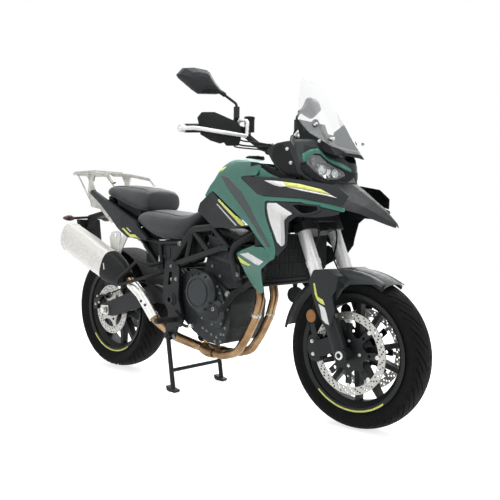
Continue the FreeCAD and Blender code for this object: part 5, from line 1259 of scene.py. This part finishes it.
def make_engine_ribs():
    ribs = Kit("engine_ribs", ENGINE)
    for k in (0, 1, 4, 5, 6, 8):
        turn = math.radians(-60 + 30 * k)
        a, b = Vector(around(CLUTCH, 62, turn)), Vector(around(CLUTCH, 88, turn))
        wide = Vector((b.y - a.y, a.x - b.x)).normalized() * 2.2
        ribs.plate([a + wide, b + wide, b - wide, a - wide], -166, -140)
    ribs.add([(66, 0), (66, 2.5), (63, 3.5), (61, 2.5), (61, 0)], (763, -170, 481), outwards(RIGHT), 48)
    ribs.add([(40, 0), (40, 3), (36, 4), (0, 4)], (846, -153, 400), outwards(RIGHT), 40)
    ribs.add(HEX_CAP, (566, -150, 431), outwards(RIGHT), 6)
    ribs.add([(32, -1), (32, 3), (29, 5), (0, 5)], (566, -150, 431), outwards(RIGHT), 40)
    ribs.add(HEX_CAP, (555, 150, 431), outwards(LEFT), 6)
    along = Vector((math.cos(CYLINDER_LEAN), -math.sin(CYLINDER_LEAN))) * 84
    up = Vector((math.sin(CYLINDER_LEAN), math.cos(CYLINDER_LEAN))) * 2.0
    for side in SIDES:
        for k in range(9):
            low = 26 + k * 9.5
            mid = Vector((822 + math.sin(CYLINDER_LEAN) * low, 520 + math.cos(CYLINDER_LEAN) * low))
            ribs.plate([mid - along, mid + along, mid + along + up, mid - along + up],
                       side * 104, side * 109)
        for k in range(-3, 4):
            mid = Vector((869 + k * 23 - 18, 712 - k * 5))
            ribs.plate([mid, mid + Vector((6, -1.3)), mid + Vector((11, 23)), mid + Vector((5, 24.3))],
                       side * 92, side * 108)
    for k in range(8):
        x, z = 706 + k * 22, 256 + abs(k - 4) * 5
        ribs.plate([(x, z), (x + 4, z - 1), (x + 4, 300), (x, 300)], -112, 112)
    ribs.done()


def make_engine_sides():
    """Covers and fasteners beside the engine: pivot, battery, under the seat."""
    panels("pivot_back", BLACK_METAL, [(532, 494), (546, 572), (580, 566), (568, 492)], 131, 136, 5)
    hardware("slot_bolts", SILVER, bolts=[((556, side * 136, 526), outwards(side), 8) for side in SIDES])
    box = Kit("battery_cover", DARK)
    holes = [[(438, 619), (438, 633), (452, 633), (452, 619)],
             [(419, 655), (419, 668), (432, 668), (432, 655)]]
    for side in SIDES:
        box.plate([(404, 683), (556, 690), (536, 606), (474, 566), (446, 572)], side * 93, side * 98, 5,
                  holes if side == RIGHT else ())
    for x0, x1 in ((470, 462), (500, 496)):
        box.tube([(x0, -99, 606), ((x0 + x1) / 2, -99, 641), (x1, -99, 676)], 4)
    box.done()
    panels("seat_walls", BLACK, [
        (236, 702), (240, 758), (300, 776), (380, 778), (404, 700), (400, 574), (326, 566), (310, 600),
        (306, 690)], 89, 92, 8)


def make_exhaust_parts():
    hardware("shield_slots", BLACK_METAL, turned=[
        ([(7, -1), (7, 0.6), (5, 0.8), (0, 0.3)], spot, (0.2, -0.96, 0.1), 18)
        for spot in ((384, -184.4, 410), (409, -179.6, 393))])
    clip = Kit("silencer_clips", POLISHED)
    clip.plate([(142, 552), (138, 584), (144, 586), (149, 554)], -232.5, -229)
    clip.add([(13, -1), (13, 3), (10, 4.5), (7, 4.5), (6, 2), (0, 2)], (104, -133, 724),
             outwards(RIGHT), 24)
    clip.done()
    bracket = Kit("silencer_bracket", SILVER)
    bracket.plate([(52, 715), (72, 742), (112, 748), (144, 738), (150, 712), (136, 686), (140, 640),
                   (78, 628), (62, 660)], -132, -128, 8)
    bracket.done()
    hardware("cover_bolts", BLACK_METAL, bolts=[((198, -186, 604), (0.2, -0.9, 0.4), 5)])
    clamps = Kit("header_clamps", CAST_SILVER)
    for y in HEADER_SIDES:
        clamps.add([(25, 0), (25, 5), (20, 6)], (936, y, 630), HEADER_AXIS, 30)
        clamps.add([(22.5, 0), (22.5, 12), (20, 12)], (1011, y, 386), (0.25, 0, 0.97), 30)
    clamps.bolt((1034, -60, 396), (0.6, -0.8, 0), 4)
    clamps.done()


make_engine_bolts()
make_engine_ribs()
make_engine_sides()
make_exhaust_parts()


# Lines and cables
RAKE = math.radians(22)
HEAD = Vector((1221.6, 0, 900))
HEAD_DOWN = Vector((math.sin(RAKE), 0, -math.cos(RAKE)))
HEAD_AHEAD = Vector((math.cos(RAKE), 0, math.sin(RAKE)))
FORK_AHEAD = 30
FORK_Y = 105
LEG_FROM = 301
STRAP_REACH = 0.42
TO_CHASSIS = ("steering", "chassis")


def fork_place(down, ahead, y):
    """Point given along the steering axis, ahead of it and sideways, in millimetres."""
    at = HEAD + HEAD_DOWN * down + HEAD_AHEAD * ahead
    return (at.x, y, at.z)


def cable(name, points, diameter, bodies):
    """A hose or cable along the points, in millimetres; with one body it rides on it, and with two it rides
    on neither.
    """
    kit = Kit(name, RUBBER)
    kit.tube(points, diameter, 10)
    bmesh.ops.recalc_face_normals(kit.bm, faces=kit.bm.faces)
    if len(bodies) == 1:
        obj = piece(name, kit.bm, RUBBER, bodies[0])
    else:
        obj = piece(name, kit.bm, RUBBER, None)
        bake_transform(obj)


def mirrored(side, points):
    return [(x, side * y, z) for x, y, z in points]


def make_lines():
    cable("radiator_hose", [(862, -142, 410), (905, -142, 424), (952, -136, 486), (1010, -128, 520),
                            (1076, -140, 560), (1112, -152, 600)], 26, ("chassis",))
    for side in SIDES:
        line = [(1362, side * 98, 352)] + [fork_place(down, ahead, side * y) for down, ahead, y in (
            (500, -40, 106), (430, -6, 106), (340, -4, 106), (285, -8, 100), (262, 4, 84), (215, 46, 70),
            (172, 68, 62))]
        if side == RIGHT:
            line += [fork_place(60, 72, -60), fork_place(-40, 62, -62), (1222, -72, 1010),
                     (1196, -96, 1070), (1160, -130, 1104), (1117, -160, 1120), (1079, -172, 1138),
                     (1066, -166, 1172)]
        else:
            line += [fork_place(158, 66, 40), fork_place(152, 56, 24)]
        cable("brake_line_" + TAGS[side], line, 7, ("steering",))
    cable("speed_lead", [(1392, -100, 330), (1352, -118, 400)] + [fork_place(*p) for p in (
        (430, -14, -108), (340, -13, -108), (285, -16, -103), (262, -4, -80), (222, 34, -60),
        (176, 62, -50), (166, 58, -30))], 5, ("steering",))
    for side, name in ((RIGHT, "throttle_cable"), (LEFT, "clutch_cable")):
        cable(name, mirrored(side, [
            (1034, 226, 1160), (1050, 224, 1140), (1079, 215, 1128), (1117, 185, 1123), (1165, 140, 1110),
            (1186, 100, 1080), (1170, 64, 1020), (1120, 50, 960)]), 6, TO_CHASSIS)
    for side, name in ((RIGHT, "right_switch_lead"), (LEFT, "left_switch_lead")):
        cable(name, mirrored(side, [
            (1018, 230, 1160), (1036, 225, 1128), (1062, 215, 1113), (1118, 185, 1106), (1154, 140, 1104),
            (1182, 88, 1070), (1160, 40, 985)]), 7, TO_CHASSIS)
    cable("throttle_return_cable", [
        (1024, -234, 1150), (1034, -226, 1112), (1051, -215, 1104), (1091, -185, 1099), (1111, -140, 1097),
        (1140, -90, 1080), (1150, -56, 1010), (1105, -44, 950)], 6, TO_CHASSIS)
    cable("rear_brake_line", [(-96, -104, 380), (-20, -108, 400), (120, -122, 440), (280, -122, 492),
                              (400, -124, 480), (500, -128, 440)], 7, ("chassis",))


make_lines()


# Radiator
def make_air_guides():
    """Plates from the radiator's ends to the side panels, and a cover above it."""
    tree = surface_of("side_panels")
    kit = Kit("air_guides", BLACK)
    for side in SIDES:
        stations = []
        for z in range(600, 821, 20):
            spot, _ = across(tree, side, 1156, z, 0.5)
            if spot and abs(spot.y) > 0.17:
                stations.append((z, abs(spot.y) * 1000 - 4))
        for x in (1154, 1157):
            rows = [(kit.point(x, side * 156, z), kit.point(x + 36, side * y, z)) for z, y in stations]
            join_rows(kit.bm, rows)
    kit.plate([(1112, 756), (1116, 830), (1120, 830), (1116, 756)], -158, 158)
    kit.done()


def make_radiator():
    make_air_guides()
    fins = Kit("radiator_fins", BLACK_METAL)
    for z in (566 + k * 6.3 for k in range(30)):
        fins.plate([(1142, z), (1144, z), (1144, z + 1.4), (1142, z + 1.4)], -154, 154)
    fins.done()
    guard = Kit("radiator_guard", BLACK)
    for y in range(-150, 151, 30):
        guard.tube([(1148, y, 562), (1150, y, 656), (1148, y, 750)], 4)
    for z in (562, 625, 687, 750):
        guard.tube([(1148, -156, z), (1150, 0, z), (1148, 156, z)], 4)
    guard.done()
    horn = [(30, 0), (30, 2), (24, 3), (22, 1), (10, 1), (9, 3), (0, 3)]
    hardware("horn_face", BLACK_METAL, turned=[
        (horn, (1138, y, 486), outwards(side), 36) for side, y in ((LEFT, 78), (RIGHT, 52))])


make_radiator()


# Steering details
FENDER_FOOT = ((1446, 500), (1464, 512), (1486, 547), (1516, 566), (1582, 572), (1664, 575))
MIRROR = ((-466, 1368), (-443, 1392), (-405, 1400), (-346, 1399), (-334, 1392), (-314, 1364), (-284, 1336),
          (-276, 1325), (-296, 1321), (-372, 1312), (-396, 1323), (-457, 1358))
MIRROR_MIDDLE = (-372, 1352)
MIRROR_SHARE = 0.95


def fender_sides():
    """The front fender's deep sides, from its crown down past the tyre's shoulder."""
    tree = surface_of("front_fender")
    for side in SIDES:
        bm = bmesh.new()
        columns = []
        for x in range(1446, 1665, 9):
            crown, _, _, _ = tree.ray_cast(place(x, side * 50, 800), Vector(DOWN), 0.4)
            if crown is None or crown.z < 0.57:
                break
            top = crown.z * 1000
            for (x0, z0), (x1, z1) in zip(FENDER_FOOT, FENDER_FOOT[1:]):
                if x0 <= x <= x1:
                    foot = min(z0 + (z1 - z0) * (x - x0) / (x1 - x0), top - 8)
            bend = top - 9
            columns.append([bm.verts.new(place(x, side * y, z)) for y, z in (
                (50, top + 1), (62, top), (72, top - 2), (80, top - 5), (84, bend),
                (85.5, (bend + foot) / 2), (86, foot))])
        join_rows(bm, list(zip(*columns)))
        sheet("fender_side_" + TAGS[side], bm, GREY, "steering", 60, 2, 1, 2.5)


def tint_steering():
    def drop(x, z):
        return (Vector((x, 0, z)) - HEAD).dot(HEAD_DOWN)
    tint("fork", BLACK_METAL, lambda x, y, z: drop(x, z) > LEG_FROM)
    tint("front_fender", GREY, lambda x, y, z: z > 560 and abs(y) < 100)
    tint("fork", SILVER, lambda x, y, z: math.hypot(x - 1505, z - 300) < 14)
    data = NODES["hand_guards"].data
    straps = set()
    for group in islands(data):
        if max(abs(data.polygons[i].center.y) for i in group) > STRAP_REACH:
            straps.update(group)
    repaint("hand_guards", STRAP, lambda polygon: polygon.index in straps)
    tint("controls", RUBBER, lambda x, y, z: abs(y) > 300 and x < 1002)


def make_grips():
    kit = Kit("grip_ridges", RUBBER, "steering")
    for side in SIDES:
        knee, end = Vector((1014, side * 188, 1190)), Vector((950, side * 430, 1166))
        for k in range(15):
            spot = knee + (end - knee) * (0.50 + 0.031 * k)
            kit.add([(16.6, 0), (18.1, 0.8), (18.1, 3.0), (16.6, 3.8)], spot, end - knee, 24)
    kit.done()


def make_fork_parts():
    bolts = Kit("steering_bolts", SILVER, "steering")
    caps = Kit("fork_caps", BLACK_METAL, "steering")
    sleeves = Kit("fork_sleeves", SATIN, "steering")
    covers = Kit("fork_covers", BLACK_METAL, "steering")
    for side in SIDES:
        for at in (-12, 12):
            bolts.bolt((1080 + at * 0.8, side * 48, 1133), UP, 4)
        for x, z in ((1350, 330), (1356, 280)):
            bolts.bolt((x, side * 94, z), outwards(side), 6)
        top, sleeve, cover = (fork_place(down, FORK_AHEAD, side * FORK_Y) for down in (-156, 298, -110))
        caps.add([(25, -2), (25, 3), (19, 5), (0, 5)], top, -HEAD_DOWN, 32)
        caps.add([(9, 4), (9, 10), (7, 11), (0, 11)], top, -HEAD_DOWN, 6)
        sleeves.add([(26.6, 0), (27.4, 1), (27.4, 51), (26, 52)], sleeve, HEAD_DOWN, 36)
        covers.add([(27, 0), (27.7, 1), (27.7, 233), (27, 234)], cover, HEAD_DOWN, 36)
    bolts.add([(20, 0), (20, 6), (15, 9), (0, 9)], (1173, 0, 1042), (-0.375, 0, 0.927), 6)
    shroud = [fork_place(down, ahead, 0) for down, ahead in ((18, 54), (18, 66), (128, 66), (128, 54))]
    covers.plate([(x, z) for x, _, z in shroud], -124, 124, 4)
    for made in (bolts, caps, sleeves, covers):
        made.done()


def make_mirror_faces():
    glass = Kit("mirror_faces", MIRROR_GLASS, "steering")
    for side in SIDES:
        verts = []
        for point in MIRROR:
            y, z = (m + (p - m) * MIRROR_SHARE for p, m in zip(point, MIRROR_MIDDLE))
            verts.append(glass.point(955 + 0.2 * (472 + y) - 10.8, y * -side, z))
        glass.bm.faces.new(verts)
    glass.done()


def make_reflectors():
    shine = Kit("reflectors", REFLECTOR, "steering")
    bracket = Kit("reflector_brackets", BLACK_METAL, "steering")
    lens, holder = ([(1366 + wide * math.cos(t), 435 + high * math.sin(t)) for t in fractions(28)]
                    for wide, high in ((22, 25), (25, 28)))
    shine.plates(lens, 122, 127)
    bracket.plates(holder, 118, 122.5)
    bracket.plates([(1356, 420), (1376, 420), (1398, 356), (1372, 350)], 118, 122.5, 4)
    for side in SIDES:
        bracket.tube([(1384, side * 119, 366), (1384, side * 106, 362), (1384, side * 94, 360)], 10, 10)
    shine.done()
    bracket.done()


fender_sides()
tint_steering()
make_grips()
make_fork_parts()
hardware("reservoir_cap", BLACK, "steering", [
    ([(22.5, 0), (22.5, 7), (20, 9), (0, 9)], (1062, -165, 1225), UP, 32)])
hardware("reservoir_window", PALE, "steering", [
    ([(5, 0), (5, 2.5), (0, 2.5)], (1062, -185.6, 1196), outwards(RIGHT), 20)])
make_mirror_faces()
make_reflectors()


# Tail and tank cap
PLATE_AXIS = (-0.96, 0, -0.27)


def make_tail():
    tint("tail_lamp", AMBER, lambda x, y, z: abs(y) > 97 and x < -318)
    tint("tail_lamp", RED, lambda x, y, z: x < -40 and abs(y) < 59 and 882 < z < 934)
    tint("tail_panels", BLACK, lambda x, y, z: abs(y) < 118)
    arms = [((x, side * 124, z), outwards(side), 6) for x, z in ((26, 819), (-40, 900), (-120, 1030))
            for side in SIDES]
    hardware("rack_bolts", SILVER, bolts=arms + [
        ((x, y, 1076), UP, 4.5) for x, y in ((-322, -36), (-322, 36), (-150, -36), (-150, 36))])
    hardware("blank_plate", DARK, turned=[
        ([(5, 0), (5, 2.5), (0, 3)], (-352 + (806 - z) * 46 / 166 - 1.0, y, z), PLATE_AXIS, 16)
        for z in (650, 790) for y in (-40, 40)])
    # The reflector takes the red lens material, which glows faintly: a painted glow, though a reflector is
    # no lamp.
    hardware("tail_reflector", RED, turned=[
        ([(19, 0), (19, 5), (16, 7), (0, 7)], (-316, 0, 670), PLATE_AXIS, 32)])
    tint("fuel_tank", BLACK, lambda x, y, z: math.hypot(x - 950, y) < 50 and z > 1072)
    hardware("tank_cap_ring", BLACK_METAL, turned=[
        ([(41.5, -1), (41.5, 2), (38, 4), (34, 3.5), (34, 1), (0, 1)], (950, 0, 1088), UP, 48)])
    hardware("tank_lock", BLACK_METAL,
             turned=[([(12, 0), (12, 6), (10, 8), (0, 8)], (938, 0, 1088), UP, 28)],
             bolts=[((950 + 37 * math.cos(t), 37 * math.sin(t), 1091), UP, 2.6)
                    for t in (2 * math.pi * (k + 0.5) / 6 for k in range(6))])


make_tail()


# Chain, spring and foot rests
CHAIN_Y = 97
CHAIN_PITCH = 15.875
REAR_TEETH, DRIVE_TEETH = 44, 15
LINK_RADIUS = 6.9
COIL_TURNS = 6


def pitch_radius(teeth):
    return CHAIN_PITCH / 2 / math.sin(math.pi / teeth)


def chain_path():
    """The chain's pins, as (x, z), once round both sprockets."""
    rear, drive = Vector((0, 324)), Vector((640, 452))
    r1, r2 = pitch_radius(REAR_TEETH), pitch_radius(DRIVE_TEETH)
    run = drive - rear
    tilt = math.atan2(run.y, run.x)
    lean = math.asin((r1 - r2) / run.length)
    high_turn, low_turn = tilt + math.pi / 2 - lean, tilt - math.pi / 2 + lean

    def arc(centre, radius, start, angle, count):
        turns = (start - angle * k / count for k in range(count))
        return [centre + Vector((math.cos(t), math.sin(t))) * radius for t in turns]

    def straight(a, b):
        return [a + (b - a) * (k / steps) for k in range(steps)]
    a, d = (arc(rear, r1, t, 0, 1)[0] for t in (high_turn, low_turn))
    b, c = (arc(drive, r2, t, 0, 1)[0] for t in (high_turn, low_turn))
    steps = int((b - a).length / CHAIN_PITCH)
    wrap = high_turn - low_turn
    rest = 2 * math.pi - wrap
    return (straight(a, b) + arc(drive, r2, high_turn, wrap, max(3, round(wrap * r2 / CHAIN_PITCH)))
            + straight(c, d) + arc(rear, r1, low_turn, rest, round(rest * r1 / CHAIN_PITCH)))


def make_chain():
    links = Kit("chain_links", CHAIN_STEEL)
    pins = Kit("chain_pins", POLISHED)
    path = chain_path()
    for i, (p, q) in enumerate(zip(path, path[1:] + path[:1])):
        run = (q - p).normalized()
        wide = Vector((-run.y, run.x))
        loop = []
        for centre, sign in ((p, -1), (q, 1)):
            for t in (math.pi * (k / 4 - 0.5) for k in range(5)):
                loop.append(centre + run * (sign * LINK_RADIUS * math.cos(t))
                            + wide * (LINK_RADIUS * math.sin(t) * sign))
        gap, thick = (7.6, 1.0) if i % 2 else (7.7, 2.0)
        for side in SIDES:
            y = CHAIN_Y + side * gap
            links.plate(loop, y, y + side * thick)
        pins.add([(3, 0), (3, 2.6), (2.2, 3), (0, 3)], (p.x, 107, p.y), outwards(LEFT), 8)
    links.done()
    pins.done()


def make_spring():
    spring = Kit("shock_spring", SPRING)
    low, high = Vector((421, 0, 521.5)), Vector((541, 0, 581))
    axis = (high - low).normalized()
    first = axis.orthogonal().normalized()
    second = axis.cross(first)
    coil = []
    for t in (k / 96 for k in range(97)):
        turn = 2 * math.pi * COIL_TURNS * t
        coil.append(low + (high - low) * t + (first * math.cos(turn) + second * math.sin(turn)) * 30)
    spring.tube(coil, 8)
    spring.done()


def make_foot_parts():
    pegs = Kit("peg_rubbers", RUBBER)
    for side in SIDES:
        start, end = Vector((604, side * 176, 340.6)), Vector((597, side * 262, 343.7))
        pegs.add([(12.5, 0), (13.5, 1), (13.5, 84), (12.5, 86)], start, end - start, 20)
        for k in range(7):
            spot = start + (end - start) * (0.08 + 0.13 * k)
            pegs.add([(13.2, 0), (14.6, 1), (14.6, 4), (13.2, 5)], spot, end - start, 20)
    pegs.done()
    hardware("pedal_tips", SILVER, turned=[
        ([(8.5, -3), (8.5, 22), (6, 24), (0, 24)], (782, -214, 338), (0.3, -0.95, 0.1), 20),
        ([(8, -3), (8, 26), (6, 28), (0, 28)], (782, 214, 343), (0.2, 0.97, 0.1), 20)])
    hardware("caliper_bolts", SILVER, bolts=[
        ((x, -102, z), outwards(RIGHT), 5.5) for x, z in ((-96, 388), (-112, 344), (-80, 356))])


make_chain()
make_spring()
make_foot_parts()
